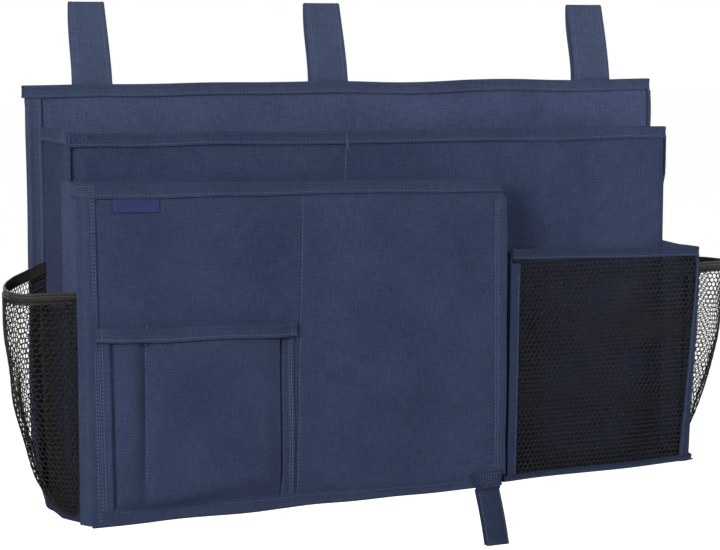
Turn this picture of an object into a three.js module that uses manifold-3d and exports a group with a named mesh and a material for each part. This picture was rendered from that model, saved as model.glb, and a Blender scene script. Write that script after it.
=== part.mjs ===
// Bedside caddy: a hanging cloth organizer that loops over a bed rail.
// Millimetres, X to the right, Y to the back, Z up; the pockets face -Y.
// The sizes are worked in a bench frame, whose Y = 0 is the front of the back
// panel and whose Z = 0 is the underside of the base. The last section moves
// the whole caddy so that its origin lies at the rail, inside the top of the loops.

import * as THREE from 'three';
import { mergeVertices } from 'three/addons/utils/BufferGeometryUtils.js';
import Module from 'manifold-3d';

const wasm = await Module();
wasm.setup();

// Driving dimensions shared by every sub-assembly

const gap = 0.3;
const overrun = 5;

const cloth = { thickness: 1 };
const lining = { thickness: 0.8 };
const stiffener = { thickness: 2.4, margin: 7 };
const binding = { leaf: 1 };
const strapTape = { thickness: 1.4, width: 35 };

const back = {
  topMargin: 15,
  footMargin: 6,
  height: 348.5,
  foldSeam: 6,
  bindingHeight: 10.5,
  patchClearance: 13,
};

const box = {
  width: 580,
  depth: 55,
  leftSideHeight: 314,
  rightSideHeight: 308,
  sideHemHeight: 11,
  frontLeftHeight: 311,
  frontRightHeight: 306,
  frontHemHeight: 11,
  baseBindingHeight: 9,
  baseBindingDrop: 2,
};

const frontPocket = {
  depth: 43,
  leftInset: 9.3,
  width: 366.7,
  leftHeight: 274.5,
  rightHeight: 265.5,
  hemHeight: 10.5,
  hemLeftReach: 21.3,
  hemRightReach: 4,
  boardReach: 176.7,
  bottomDrop: 4,
  bottomBindingHeight: 9.5,
  bottomBindingReach: 6,
  cornerDepth: 11,
  cornerKneeShares: [0.25, 0.2],
  flangeWidth: 11.2,
  flangeCorner: 7,
  flangeRoundShare: 0.33,
};

const bellows = {
  thickness: 0.8,
  height: 250,
  clearance: 6,
  foldDepth: 7,
  folds: 2,
};

const label = { inset: 16.7, width: 38.5, height: 13.5, thickness: 0.6 };

const smallPocket = {
  inset: 0.7,
  width: 172.5,
  depth: 5.8,
  leftHeight: 158,
  rightHeight: 153.5,
  hemHeight: 11.5,
  pleatWidth: 13,
  footRise: 7,
};

const meshPocket = {
  depth: 40,
  clearance: 18.5,
  flare: 10,
  leftHeight: 204,
  rightHeight: 198,
  hemHeight: 9,
  stripWidth: 9,
  bindingHeight: 5,
  gussetHemHeight: 8,
};

const net = {
  thickness: 0.8,
  columns: 15,
  rows: 15,
  strand: 2.2,
  rim: 2,
};

const sideNet = {
  thickness: 0.8,
  leftBulge: 50,
  rightBulge: 60,
  frontInset: 2.5,
  rearInset: 2.1,
  mouthHeight: 186,
  mouthRise: 17,
  footBulge: 1.3,
  fullness: 0.8,
  riseCurve: 3,
  segments: 14,
  rows: 8,
};

const elastic = { height: 10, thickness: 1.2, gather: 1.5 };

const loops = {
  leftInset: 61.5,
  middleShift: -25,
  rightInset: 57.5,
  sewnDepth: 44.5,
  rise: 64,
  lean: 10.5,
  foldRadius: 4.2,
  foldSteps: 6,
  creaseDrop: 3,
  flapDepth: 90.5,
  bellyStart: 4,
  bellyHeight: 17,
  patchHeight: 38,
  patchInset: 2,
  hookThickness: 1.5,
  loopPileThickness: 1.5,
};

const bottomStrap = {
  inset: 11,
  width: 22,
  rootWidth: 26,
  rootHeight: 17,
  length: 50,
  plyThickness: 0.85,
  slantShare: 0.13,
  leanDegrees: 9,
  headSteps: 6,
};

// Places that follow from the driving dimensions

const sideOuter = box.width / 2;
const backTopHalf = sideOuter + back.topMargin;
const backFootHalf = sideOuter + back.footMargin;
const sideInner = sideOuter - cloth.thickness;
const backRear = 2 * cloth.thickness + 2 * gap + stiffener.thickness;
const boxFace = -box.depth;
const frontFace = boxFace - frontPocket.depth;
const meshFace = boxFace - meshPocket.depth;
const smallFace = frontFace - smallPocket.depth - cloth.thickness;
const boxWallThickness = cloth.thickness + stiffener.thickness + lining.thickness + 2 * gap;
const boxWallRear = boxFace + boxWallThickness;
const frontWallThickness = boxWallThickness;
const frontWallRear = frontFace + frontWallThickness;
const floorTop = cloth.thickness + gap + stiffener.thickness;
const bottomBindingTop = frontPocket.bottomBindingHeight - frontPocket.bottomDrop;
const baseFront = frontWallRear + gap;
const frontLeft = -sideOuter + frontPocket.leftInset;
const frontRight = frontLeft + frontPocket.width;
const frontHemLeft = frontLeft - frontPocket.hemLeftReach;
const frontHemRight = frontRight + frontPocket.hemRightReach;
const smallLeft = frontLeft + smallPocket.inset;
const smallRight = smallLeft + smallPocket.width;
const meshLeft = frontRight + meshPocket.clearance;
const meshRight = sideOuter + meshPocket.flare;
const flapFoot = back.height - loops.flapDepth;
const patchLine = flapFoot - back.patchClearance;
const loopCentres = {
  left: -backTopHalf + loops.leftInset,
  middle: loops.middleShift,
  right: backTopHalf - loops.rightInset,
};

// Materials, one finish for each kind of stuff

function stuff(color, roughness, metalness = 0) {
  return new THREE.MeshStandardMaterial({ color, roughness, metalness });
}

const navyCloth = () => stuff(0x2f3a5c, 0.82);
const navyBinding = () => stuff(0x36405f, 0.78);
const darkLining = () => stuff(0x20263c, 0.85);
const boardStuff = () => stuff(0x8c8577, 0.7);
const netStuff = () => stuff(0x141416, 0.7);
const elasticStuff = () => stuff(0x26221d, 0.75);
const labelStuff = () => stuff(0x2c2f78, 0.35);
const strapStuff = () => stuff(0x2c3757, 0.8);
const pileStuff = () => stuff(0x17191f, 0.95);

// Shape helpers

const caddy = new THREE.Group();

function addPiece(name, geometry, material, parent = caddy) {
  const mesh = new THREE.Mesh(geometry, material);
  mesh.name = name;
  parent.add(mesh);
  return mesh;
}

function outlineShape(points) {
  return new THREE.Shape(points.map(([u, v]) => new THREE.Vector2(u, v)));
}

function extruded(points, length, holes = []) {
  const shape = outlineShape(points);
  shape.holes = holes.map(outlineShape);
  return new THREE.ExtrudeGeometry(shape, { depth: length, bevelEnabled: false, steps: 1 });
}

// An (x, z) outline with its rear face at rearY
function acrossPlate(points, rearY, thickness, holes = []) {
  const geometry = extruded(points, thickness, holes);
  geometry.rotateX(Math.PI / 2);
  geometry.translate(0, rearY, 0);
  return geometry;
}

// A (y, z) outline that runs from lowX to highX
function sidePlate(points, lowX, highX) {
  const geometry = extruded(points, highX - lowX);
  const turn = new THREE.Matrix4().makeBasis(
    new THREE.Vector3(0, 1, 0),
    new THREE.Vector3(0, 0, 1),
    new THREE.Vector3(1, 0, 0),
  );
  geometry.applyMatrix4(turn);
  geometry.translate(lowX, 0, 0);
  return geometry;
}

// An (x, y) outline that stands from lowZ to highZ
function levelPlate(points, lowZ, highZ) {
  const geometry = extruded(points, highZ - lowZ);
  geometry.translate(0, 0, lowZ);
  return geometry;
}

// A body from its corners and its outward quads
function bodyOfQuads(corners, quads) {
  const geometry = new THREE.BufferGeometry();
  geometry.setAttribute('position', new THREE.Float32BufferAttribute(corners.flat(), 3));
  geometry.setIndex(quads.flatMap(([a, b, c, d]) => [a, b, c, a, c, d]));
  return geometry;
}

// A standing panel from rows of a left and a right (x, z) point, lowest row first;
// a row's third entry sets its rear back from rearY
function rowPanel(rows, rearY, thickness) {
  const corners = rows.flatMap(([left, right, setback = 0]) => {
    const rear = rearY + setback;
    const face = rear - thickness;
    return [
      [left[0], face, left[1]],
      [right[0], face, right[1]],
      [right[0], rear, right[1]],
      [left[0], rear, left[1]],
    ];
  });
  const quads = [[0, 3, 2, 1]];
  for (let row = 0; row < rows.length - 1; row += 1) {
    const low = 4 * row;
    const high = low + 4;
    for (let side = 0; side < 4; side += 1) {
      const next = (side + 1) % 4;
      quads.push([low + side, low + next, high + next, high + side]);
    }
  }
  const top = 4 * (rows.length - 1);
  quads.push([top, top + 1, top + 2, top + 3]);
  return bodyOfQuads(corners, quads);
}

// A strip of even thickness along a line of flat points, as a closed outline
function ribbonOutline(line, thickness) {
  const half = thickness / 2;
  const leftSide = [];
  const rightSide = [];
  line.forEach((point, index) => {
    const before = line[Math.max(index - 1, 0)];
    const after = line[Math.min(index + 1, line.length - 1)];
    const inward = new THREE.Vector2(point[0] - before[0], point[1] - before[1]);
    const outward = new THREE.Vector2(after[0] - point[0], after[1] - point[1]);
    if (index === 0) inward.copy(outward);
    if (index === line.length - 1) outward.copy(inward);
    inward.normalize();
    outward.normalize();
    const along = inward.clone().add(outward).normalize();
    const reach = half / along.dot(inward);
    leftSide.push([point[0] - along.y * reach, point[1] + along.x * reach]);
    rightSide.push([point[0] + along.y * reach, point[1] - along.x * reach]);
  });
  return [...rightSide, ...leftSide.reverse()];
}

// A folded hem over the top of a wall, seen from its end as an upside-down U
function hemProfile(low, high, top, height) {
  const outerLow = low - gap - binding.leaf;
  const outerHigh = high + gap + binding.leaf;
  const bottom = top - height;
  return [
    [outerLow, bottom],
    [low - gap, bottom],
    [low - gap, top - binding.leaf],
    [high + gap, top - binding.leaf],
    [high + gap, bottom],
    [outerHigh, bottom],
    [outerHigh, top],
    [outerLow, top],
  ];
}

// A hem across the width, whose top runs from one height to another
function hemAcross(left, right, leftTop, rightTop, height, face, rear) {
  const geometry = sidePlate(hemProfile(face, rear, 0, height), left, right);
  const slope = (rightTop - leftTop) / (right - left);
  const lift = leftTop - slope * left;
  const shear = new THREE.Matrix4().set(
    1, 0, 0, 0,
    0, 1, 0, 0,
    slope, 0, 1, lift,
    0, 0, 0, 1,
  );
  geometry.applyMatrix4(shear);
  return geometry;
}

// The top of a wall that is tucked into its hem
function tuckedTop(hemTop) {
  return hemTop - binding.leaf - gap;
}

// Cutting with manifold

function solidOf(geometry) {
  const bare = geometry.clone();
  bare.deleteAttribute('normal');
  bare.deleteAttribute('uv');
  const merged = mergeVertices(bare);
  return new wasm.Manifold(new wasm.Mesh({
    numProp: 3,
    vertProperties: new Float32Array(merged.getAttribute('position').array),
    triVerts: new Uint32Array(merged.getIndex().array),
  }));
}

function geometryOf(solid) {
  const mesh = solid.getMesh();
  const geometry = new THREE.BufferGeometry();
  geometry.setAttribute('position', new THREE.Float32BufferAttribute(mesh.vertProperties, 3));
  geometry.setIndex(Array.from(mesh.triVerts));
  return geometry;
}

function cutFrom(body, cutter) {
  return geometryOf(solidOf(body).subtract(solidOf(cutter)));
}

// Back panel: two boards between a front and a rear cloth, bound on three edges

function backHalfWidth(height, inset = 0) {
  const share = height / back.height;
  return backFootHalf + (backTopHalf - backFootHalf) * share - inset;
}

// The rear cloth's outer face has one clear panel, between the side bindings and
// below the loops' patches, which lies against the bed
function rearClothOf([[lowLeft, lowRight], [highLeft, highRight]]) {
  const outline = [lowLeft, lowRight, highRight, highLeft];
  const clearPanel = [
    [-sideOuter, stiffener.margin],
    [sideOuter, stiffener.margin],
    [sideOuter, patchLine],
    [-sideOuter, patchLine],
  ];
  const corners = [
    ...outline.map(([x, z]) => [x, backRear - cloth.thickness, z]),
    ...outline.map(([x, z]) => [x, backRear, z]),
    ...clearPanel.map(([x, z]) => [x, backRear, z]),
  ];
  const quads = [[0, 1, 2, 3], [8, 11, 10, 9]];
  for (let side = 0; side < 4; side += 1) {
    const next = (side + 1) % 4;
    quads.push([side, 4 + side, 4 + next, next]);
    quads.push([4 + side, 8 + side, 8 + next, 4 + next]);
  }
  return bodyOfQuads(corners, quads);
}

function buildBackPanel() {
  const clothInset = binding.leaf + gap;
  const clothTop = tuckedTop(back.height);
  const clothRow = (z) => [[-backHalfWidth(z, clothInset), z], [backHalfWidth(z, clothInset), z]];
  const clothRows = [clothRow(0), clothRow(clothTop)];

  addPiece('back_front_cloth', rowPanel(clothRows, cloth.thickness, cloth.thickness), navyCloth());
  addPiece('back_rear_cloth', rearClothOf(clothRows), darkLining());

  const boardRear = backRear - cloth.thickness - gap;
  const boardInset = clothInset + stiffener.margin;
  const low = stiffener.margin;
  const high = clothTop - stiffener.margin;
  const fold = back.foldSeam / 2;
  const leftRows = [low, high].map((z) => [[-backHalfWidth(z, boardInset), z], [-fold, z]]);
  const rightRows = [low, high].map((z) => [[fold, z], [backHalfWidth(z, boardInset), z]]);
  addPiece('back_board_left', rowPanel(leftRows, boardRear, stiffener.thickness), boardStuff());
  addPiece('back_board_right', rowPanel(rightRows, boardRear, stiffener.thickness), boardStuff());

  const topHalf = backTopHalf + 2 * binding.leaf;
  addPiece(
    'top_binding',
    hemAcross(-topHalf, topHalf, back.height, back.height, back.bindingHeight, 0, backRear),
    navyBinding(),
  );

  const bindingTop = back.height - back.bindingHeight - gap;
  const innerEdge = sideOuter + 2 * binding.leaf + gap;
  for (const [name, sign] of [['left_side_binding', -1], ['right_side_binding', 1]]) {
    const outer = [0, bindingTop].map((z) => [sign * backHalfWidth(z), z]);
    const slot = [-overrun, bindingTop + overrun].map((z) => [sign * backHalfWidth(z, binding.leaf), z]);
    const body = acrossPlate(
      [[sign * innerEdge, 0], outer[0], outer[1], [sign * innerEdge, bindingTop]],
      backRear + gap + binding.leaf,
      backRear + 2 * (gap + binding.leaf),
    );
    const inside = sign * (innerEdge - overrun);
    const cutter = acrossPlate(
      [[inside, -overrun], slot[0], slot[1], [inside, bindingTop + overrun]],
      backRear + gap,
      backRear + 2 * gap,
    );
    addPiece(name, cutFrom(body, cutter), navyBinding());
  }
}

// Main compartment: two sides, a stiffened front wall and the base

function buildSides() {
  const low = cloth.thickness + gap;
  const rear = -gap;
  const sides = [
    ['left', -sideOuter, -sideInner, box.leftSideHeight],
    ['right', sideInner, sideOuter, box.rightSideHeight],
  ];
  for (const [side, lowX, highX, height] of sides) {
    const top = tuckedTop(height);
    const panel = [[boxFace, low], [rear, low], [rear, top], [boxFace, top]];
    addPiece(`${side}_side_panel`, sidePlate(panel, lowX, highX), navyCloth());
    const hemRear = rear - gap;
    const hemOutline = hemProfile(lowX, highX, height, box.sideHemHeight);
    addPiece(`${side}_side_hem`, acrossPlate(hemOutline, hemRear, hemRear - boxFace), navyBinding());
  }
}

function buildBoxFront() {
  const hemInside = gap + binding.leaf;
  const half = sideInner - gap;
  const wallHalf = half - hemInside;
  const low = floorTop + gap;
  const slopeTop = (x) => {
    const share = (x + half) / (2 * half);
    return box.frontLeftHeight + (box.frontRightHeight - box.frontLeftHeight) * share;
  };
  const rows = (left, right, bottom, drop) => [
    [[left, bottom], [right, bottom]],
    [[left, tuckedTop(slopeTop(left)) - drop], [right, tuckedTop(slopeTop(right)) - drop]],
  ];
  const clothRows = rows(-wallHalf, wallHalf, low, 0);
  addPiece(
    'main_front_cloth',
    rowPanel(clothRows, boxFace + cloth.thickness, cloth.thickness),
    navyCloth(),
  );
  const boardHalf = wallHalf - stiffener.margin;
  const boardRows = rows(-boardHalf, boardHalf, low + stiffener.margin, stiffener.margin);
  addPiece(
    'main_front_board',
    rowPanel(boardRows, boxWallRear - lining.thickness - gap, stiffener.thickness),
    boardStuff(),
  );
  addPiece('main_front_lining', rowPanel(clothRows, boxWallRear, lining.thickness), darkLining());
  addPiece(
    'main_front_hem',
    hemAcross(
      -wallHalf, wallHalf, slopeTop(-wallHalf), slopeTop(wallHalf),
      box.frontHemHeight, boxFace, boxWallRear,
    ),
    navyBinding(),
  );
}

function baseOutline(inset) {
  const side = sideOuter - inset;
  const flare = meshRight - inset;
  const cornerSide = frontFace + frontPocket.cornerDepth + inset;
  return [
    [-side, -gap - inset],
    [-side, cornerSide],
    [-sideInner + gap + inset, cornerSide],
    [frontLeft + inset, baseFront + inset],
    [flare, baseFront + inset],
    [side, boxFace],
    [side, -gap - inset],
  ];
}

function buildBase() {
  addPiece('base_cloth', levelPlate(baseOutline(0).reverse(), 0, cloth.thickness), navyCloth());
  const boardLow = cloth.thickness + gap;
  const boardInset = cloth.thickness + 2 * gap;
  const boardOutline = baseOutline(boardInset).reverse();
  addPiece('base_board', levelPlate(boardOutline, boardLow, boardLow + stiffener.thickness), boardStuff());
  const low = -box.baseBindingDrop;
  const high = low + box.baseBindingHeight;
  const face = sideOuter + gap;
  const frontEnd = frontFace + frontPocket.cornerDepth;
  const leftStrip = [[frontEnd, low], [-gap, low], [-gap, high], [frontEnd, high]];
  addPiece('base_left_binding', sidePlate(leftStrip, -face - binding.leaf, -face), navyBinding());
  const rightStrip = [[boxFace, low], [-gap, low], [-gap, high], [boxFace, high]];
  addPiece('base_right_binding', sidePlate(rightStrip, face, face + binding.leaf), navyBinding());
}

// Front pocket: a stiffened wall that tips forward about its foot, with a pleated
// gusset on the right, a corner strip on the left and a small pocket on its face

function frontTop(x) {
  const share = (x - frontHemLeft) / (frontHemRight - frontHemLeft);
  return frontPocket.leftHeight + (frontPocket.rightHeight - frontPocket.leftHeight) * share;
}

function buildFrontPocketGussets() {
  const low = floorTop + gap;
  const rear = boxFace - gap;
  const front = frontFace + frontPocket.cornerDepth;
  const top = tuckedTop(frontPocket.leftHeight);
  const panel = [[front, low], [rear, low], [rear, top], [front, top]];
  addPiece('front_pocket_left_gusset', sidePlate(panel, -sideOuter, -sideInner), navyCloth());

  const start = frontWallRear + bellows.thickness;
  const end = boxFace - bellows.thickness;
  const inner = frontRight + bellows.clearance;
  const turns = 2 * bellows.folds;
  const line = [];
  for (let turn = 0; turn <= turns; turn += 1) {
    const x = turn % 2 === 0 ? inner : inner + bellows.foldDepth;
    line.push([x, start + (end - start) * (turn / turns)]);
  }
  addPiece(
    'front_pocket_bellows',
    levelPlate(ribbonOutline(line, bellows.thickness), low, bellows.height),
    navyCloth(),
  );
}

function buildFrontPocketWall() {
  const low = gap;
  const left = frontLeft;
  const right = frontRight;
  const rows = (from, to, bottom, drop) => [
    [[from, bottom], [to, bottom]],
    [[from, tuckedTop(frontTop(from)) - drop], [to, tuckedTop(frontTop(to)) - drop]],
  ];
  addPiece(
    'front_pocket_cloth',
    rowPanel(rows(left, right, low, 0), frontFace + cloth.thickness, cloth.thickness),
    navyCloth(),
  );
  addPiece(
    'front_pocket_board',
    rowPanel(
      rows(left + stiffener.margin, left + frontPocket.boardReach, low + stiffener.margin, stiffener.margin),
      frontWallRear - lining.thickness - gap,
      stiffener.thickness,
    ),
    boardStuff(),
  );
  addPiece(
    'front_pocket_lining',
    rowPanel(rows(left, right, low, 0), frontWallRear, lining.thickness),
    darkLining(),
  );
  addPiece(
    'front_pocket_hem',
    hemAcross(
      frontHemLeft, frontHemRight, frontPocket.leftHeight, frontPocket.rightHeight,
      frontPocket.hemHeight, frontFace, frontWallRear,
    ),
    navyBinding(),
  );

  const half = cloth.thickness / 2;
  const depth = frontPocket.cornerDepth;
  const [kneeX, kneeY] = frontPocket.cornerKneeShares.map((share) => share * depth);
  const cornerLine = [
    [-sideOuter + half, frontFace + depth - gap],
    [-sideOuter + half, frontFace + depth / 2],
    [-sideOuter + kneeX + half, frontFace + kneeY + half],
    [left - gap, frontFace + half],
  ];
  const stripTop = frontTop(left) - frontPocket.hemHeight - gap;
  addPiece(
    'front_pocket_left_strip',
    levelPlate(ribbonOutline(cornerLine, cloth.thickness), low, stripTop),
    navyBinding(),
  );

  const flangeLeft = right + gap;
  const flangeRight = flangeLeft + frontPocket.flangeWidth;
  const flangeTop = frontTop(right) - frontPocket.hemHeight - gap;
  const corner = frontPocket.flangeCorner;
  const round = corner * frontPocket.flangeRoundShare;
  const flangeLow = bottomBindingTop;
  const flange = [
    [flangeLeft, flangeLow],
    [flangeRight, flangeLow],
    [flangeRight, flangeTop - corner],
    [flangeRight - round, flangeTop - round],
    [flangeRight - corner, flangeTop],
    [flangeLeft, flangeTop],
  ];
  const flangeThickness = 2 * cloth.thickness;
  addPiece(
    'front_pocket_right_flange',
    acrossPlate(flange, frontFace + flangeThickness, flangeThickness),
    navyBinding(),
  );

  const bindingRear = frontFace - gap;
  const bindingLow = -frontPocket.bottomDrop;
  const bindingRight = right + frontPocket.bottomBindingReach;
  const bottom = [
    [left, bindingLow],
    [bindingRight, bindingLow],
    [bindingRight, bottomBindingTop],
    [left, bottomBindingTop],
  ];
  addPiece('front_pocket_bottom_binding', acrossPlate(bottom, bindingRear, binding.leaf), navyBinding());

  const labelTop = (x) => frontTop(x) - frontPocket.hemHeight - gap;
  const labelLeft = left + label.inset;
  const labelRight = labelLeft + label.width;
  const labelOutline = [
    [labelLeft, labelTop(labelLeft) - label.height],
    [labelRight, labelTop(labelRight) - label.height],
    [labelRight, labelTop(labelRight)],
    [labelLeft, labelTop(labelLeft)],
  ];
  addPiece('blank_label', acrossPlate(labelOutline, frontFace - gap, label.thickness), labelStuff());
}

function buildSmallPocket() {
  const left = smallLeft;
  const right = smallRight;
  const top = (x) => {
    const share = (x - left) / (right - left);
    return smallPocket.leftHeight + (smallPocket.rightHeight - smallPocket.leftHeight) * share;
  };
  const rear = smallFace + cloth.thickness;
  const foot = bottomBindingTop + gap;
  const pleatFoot = foot + smallPocket.footRise;
  const setback = smallPocket.depth - gap;
  addPiece(
    'small_pocket_cloth',
    rowPanel([
      [[left, foot], [right, foot], setback],
      [[left, pleatFoot], [right, pleatFoot]],
      [[left, tuckedTop(top(left))], [right, tuckedTop(top(right))]],
    ], rear, cloth.thickness),
    navyCloth(),
  );
  addPiece(
    'small_pocket_hem',
    hemAcross(left, right, top(left), top(right), smallPocket.hemHeight, smallFace, rear),
    navyBinding(),
  );
  const half = lining.thickness / 2;
  const front = rear + gap + half;
  const near = frontFace - gap - half;
  for (const [name, edge, turn] of [
    ['small_pocket_left_pleat', left + half, 1],
    ['small_pocket_right_pleat', right - half, -1],
  ]) {
    const inner = edge + turn * smallPocket.pleatWidth;
    const line = [[edge, near], [inner, (near + front) / 2], [edge, front]];
    const pleatTop = Math.min(smallPocket.leftHeight, smallPocket.rightHeight) - smallPocket.hemHeight - gap;
    const outline = ribbonOutline(turn > 0 ? line : line.reverse(), lining.thickness);
    addPiece(name, levelPlate(outline, pleatFoot, pleatTop), navyCloth());
  }
}

// Mesh pocket: a flat net in a bound frame, with cloth gussets at both sides

function meshTop(x) {
  const share = (x - meshLeft) / (meshRight - meshLeft);
  return meshPocket.leftHeight + (meshPocket.rightHeight - meshPocket.leftHeight) * share;
}

function netHoles(left, right, low, high) {
  const pitchX = (right - left - 2 * net.rim) / net.columns;
  const pitchZ = (high - low - 2 * net.rim) / net.rows;
  const diagonal = net.strand / Math.SQRT2;
  const holes = [];
  for (let row = 0; row < net.rows; row += 1) {
    const shift = row % 2 === 0 ? 0 : pitchX / 2;
    const count = row % 2 === 0 ? net.columns : net.columns - 1;
    for (let column = 0; column < count; column += 1) {
      const x = left + net.rim + shift + (column + 1 / 2) * pitchX;
      const z = low + net.rim + (row + 1 / 2) * pitchZ;
      const halfX = pitchX / 2 - diagonal / 2;
      const halfZ = pitchZ - diagonal;
      const reachLow = row === 0 ? pitchZ / 2 : halfZ;
      const reachHigh = row === net.rows - 1 ? pitchZ / 2 : halfZ;
      holes.push([[x - halfX, z], [x, z - reachLow], [x + halfX, z], [x, z + reachHigh]]);
    }
  }
  return holes;
}

function buildMeshPocket() {
  const low = gap;
  const netLeft = meshLeft + meshPocket.stripWidth + gap;
  const netRight = meshRight - meshPocket.stripWidth - gap;
  const netTop = tuckedTop(meshPocket.rightHeight);
  const netLow = meshPocket.bindingHeight + gap;
  const netOutline = [[netLeft, netLow], [netRight, netLow], [netRight, netTop], [netLeft, netTop]];
  const holeTop = meshPocket.rightHeight - meshPocket.hemHeight;
  const holes = netHoles(netLeft, netRight, netLow, holeTop);
  addPiece(
    'mesh_pocket_net',
    acrossPlate(netOutline, meshFace + net.thickness, net.thickness, holes),
    netStuff(),
  );
  addPiece(
    'mesh_pocket_hem',
    hemAcross(
      meshLeft, meshRight, meshPocket.leftHeight, meshPocket.rightHeight,
      meshPocket.hemHeight, meshFace, meshFace + cloth.thickness,
    ),
    navyBinding(),
  );
  const strips = [
    ['mesh_pocket_left_strip', meshLeft, meshLeft + meshPocket.stripWidth],
    ['mesh_pocket_right_strip', meshRight - meshPocket.stripWidth, meshRight],
  ];
  for (const [name, from, to] of strips) {
    const rows = [
      [[from, low], [to, low]],
      [[from, tuckedTop(meshTop(from))], [to, tuckedTop(meshTop(to))]],
    ];
    addPiece(name, rowPanel(rows, meshFace + cloth.thickness, cloth.thickness), navyBinding());
  }
  const bottomRear = meshFace - gap;
  const bottom = [
    [meshLeft, 0],
    [meshRight, 0],
    [meshRight, meshPocket.bindingHeight],
    [meshLeft, meshPocket.bindingHeight],
  ];
  addPiece('mesh_pocket_bottom_binding', acrossPlate(bottom, bottomRear, binding.leaf), navyBinding());

  const gussetLow = floorTop + gap;
  const front = meshFace + cloth.thickness + 2 * gap + binding.leaf;
  const rear = boxFace - gap;
  const leftTop = meshPocket.leftHeight;
  const leftPanel = [[front, gussetLow], [rear, gussetLow], [rear, leftTop], [front, leftTop]];
  addPiece(
    'mesh_pocket_left_gusset',
    sidePlate(leftPanel, meshLeft, meshLeft + cloth.thickness),
    navyCloth(),
  );
  const half = cloth.thickness / 2;
  const flareShare = (front - rear) / (meshFace - rear);
  const flareEnd = sideInner + half + (meshRight - sideOuter) * flareShare;
  const flareLine = [[sideInner + half, rear], [flareEnd, front]];
  const gussetTop = tuckedTop(meshPocket.rightHeight);
  addPiece(
    'mesh_pocket_right_gusset',
    levelPlate(ribbonOutline(flareLine, cloth.thickness), gussetLow, gussetTop),
    navyCloth(),
  );
  const direction = new THREE.Vector2(flareEnd - flareLine[0][0], front - rear).normalize();
  const lineStretchedBy = (reach) => [
    [flareLine[0][0] - reach * direction.x, rear - reach * direction.y],
    [flareEnd + reach * direction.x, front + reach * direction.y],
  ];
  const hemOutline = ribbonOutline(lineStretchedBy(-2 * gap), cloth.thickness + 2 * (gap + binding.leaf));
  const hemLow = meshPocket.rightHeight - meshPocket.gussetHemHeight;
  const hemBody = levelPlate(hemOutline, hemLow, meshPocket.rightHeight);
  const slot = levelPlate(
    ribbonOutline(lineStretchedBy(overrun), cloth.thickness + 2 * gap),
    hemLow - overrun,
    meshPocket.rightHeight - binding.leaf,
  );
  addPiece('mesh_pocket_gusset_hem', cutFrom(hemBody, slot), navyBinding());
}

// Side pockets: a net that bulges out from each side under an elastic mouth

function sidePocketPoint(sign, bulge, turn, inset) {
  const rear = -sideNet.rearInset;
  const front = frontFace + frontPocket.cornerDepth + sideNet.frontInset;
  const middle = (rear + front) / 2;
  const reach = (rear - front) / 2 - inset;
  const flareReach = (front - boxFace) / (meshFace - boxFace);
  const flare = sign > 0 ? (meshRight - sideOuter) * flareReach : 0;
  const flareShare = (1 - Math.cos(turn)) / 2;
  const wall = sideOuter + gap + flare * flareShare;
  const out = (bulge - inset) * Math.sin(turn);
  return [sign * (wall + out), middle + reach * Math.cos(turn)];
}

function mouthHeight(turnShare) {
  return sideNet.mouthHeight + sideNet.mouthRise * (1 - turnShare) ** sideNet.riseCurve;
}

// A curved sheet of even thickness: outer(row, column) and inner(row, column) are its faces
function curvedSheet(rows, columns, outer, inner, flip) {
  const corners = [];
  for (const face of [outer, inner]) {
    for (let row = 0; row <= rows; row += 1) {
      for (let column = 0; column <= columns; column += 1) {
        corners.push(face(row / rows, column / columns));
      }
    }
  }
  const width = columns + 1;
  const faceSize = (rows + 1) * width;
  const at = (face, row, column) => face * faceSize + row * width + column;
  const cell = (face, row, column) => [
    at(face, row, column),
    at(face, row, column + 1),
    at(face, row + 1, column + 1),
    at(face, row + 1, column),
  ];
  const quads = [];
  for (let row = 0; row < rows; row += 1) {
    for (let column = 0; column < columns; column += 1) {
      quads.push(cell(0, row, column));
      quads.push(cell(1, row, column).reverse());
    }
    quads.push([at(0, row, 0), at(0, row + 1, 0), at(1, row + 1, 0), at(1, row, 0)]);
    quads.push([at(0, row, columns), at(1, row, columns), at(1, row + 1, columns), at(0, row + 1, columns)]);
  }
  for (let column = 0; column < columns; column += 1) {
    quads.push([at(0, 0, column), at(1, 0, column), at(1, 0, column + 1), at(0, 0, column + 1)]);
    quads.push([at(0, rows, column), at(0, rows, column + 1), at(1, rows, column + 1), at(1, rows, column)]);
  }
  return bodyOfQuads(corners, flip ? quads.map((quad) => quad.slice().reverse()) : quads);
}

function buildSidePocket(side, sign, bulge) {
  const low = box.baseBindingHeight - box.baseBindingDrop + gap;
  const bulgeShareAt = (share) => Math.sin((Math.PI / 2) * share ** sideNet.fullness);
  const netFace = (inset) => (rowShare, turnShare) => {
    const turn = Math.PI * turnShare;
    const out = sideNet.footBulge + (bulge - sideNet.footBulge) * bulgeShareAt(rowShare);
    const [x, y] = sidePocketPoint(sign, out, turn, inset);
    const high = mouthHeight(turnShare) - elastic.height - gap;
    return [x, y, low + (high - low) * rowShare];
  };
  addPiece(
    `${side}_side_net`,
    curvedSheet(sideNet.rows, sideNet.segments, netFace(0), netFace(sideNet.thickness), sign > 0),
    netStuff(),
  );
  const bandFace = (inset) => (rowShare, turnShare) => {
    const turn = Math.PI * turnShare;
    const [x, y] = sidePocketPoint(sign, bulge - elastic.gather, turn, inset);
    return [x, y, mouthHeight(turnShare) - elastic.height * (1 - rowShare)];
  };
  addPiece(
    `${side}_side_elastic`,
    curvedSheet(1, sideNet.segments, bandFace(0), bandFace(elastic.thickness), sign > 0),
    elasticStuff(),
  );
}

// Hanging loops: each front ply is sewn behind the back panel, rises over the rail
// and folds; its rear flap closes on a loop patch with a hook patch

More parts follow.
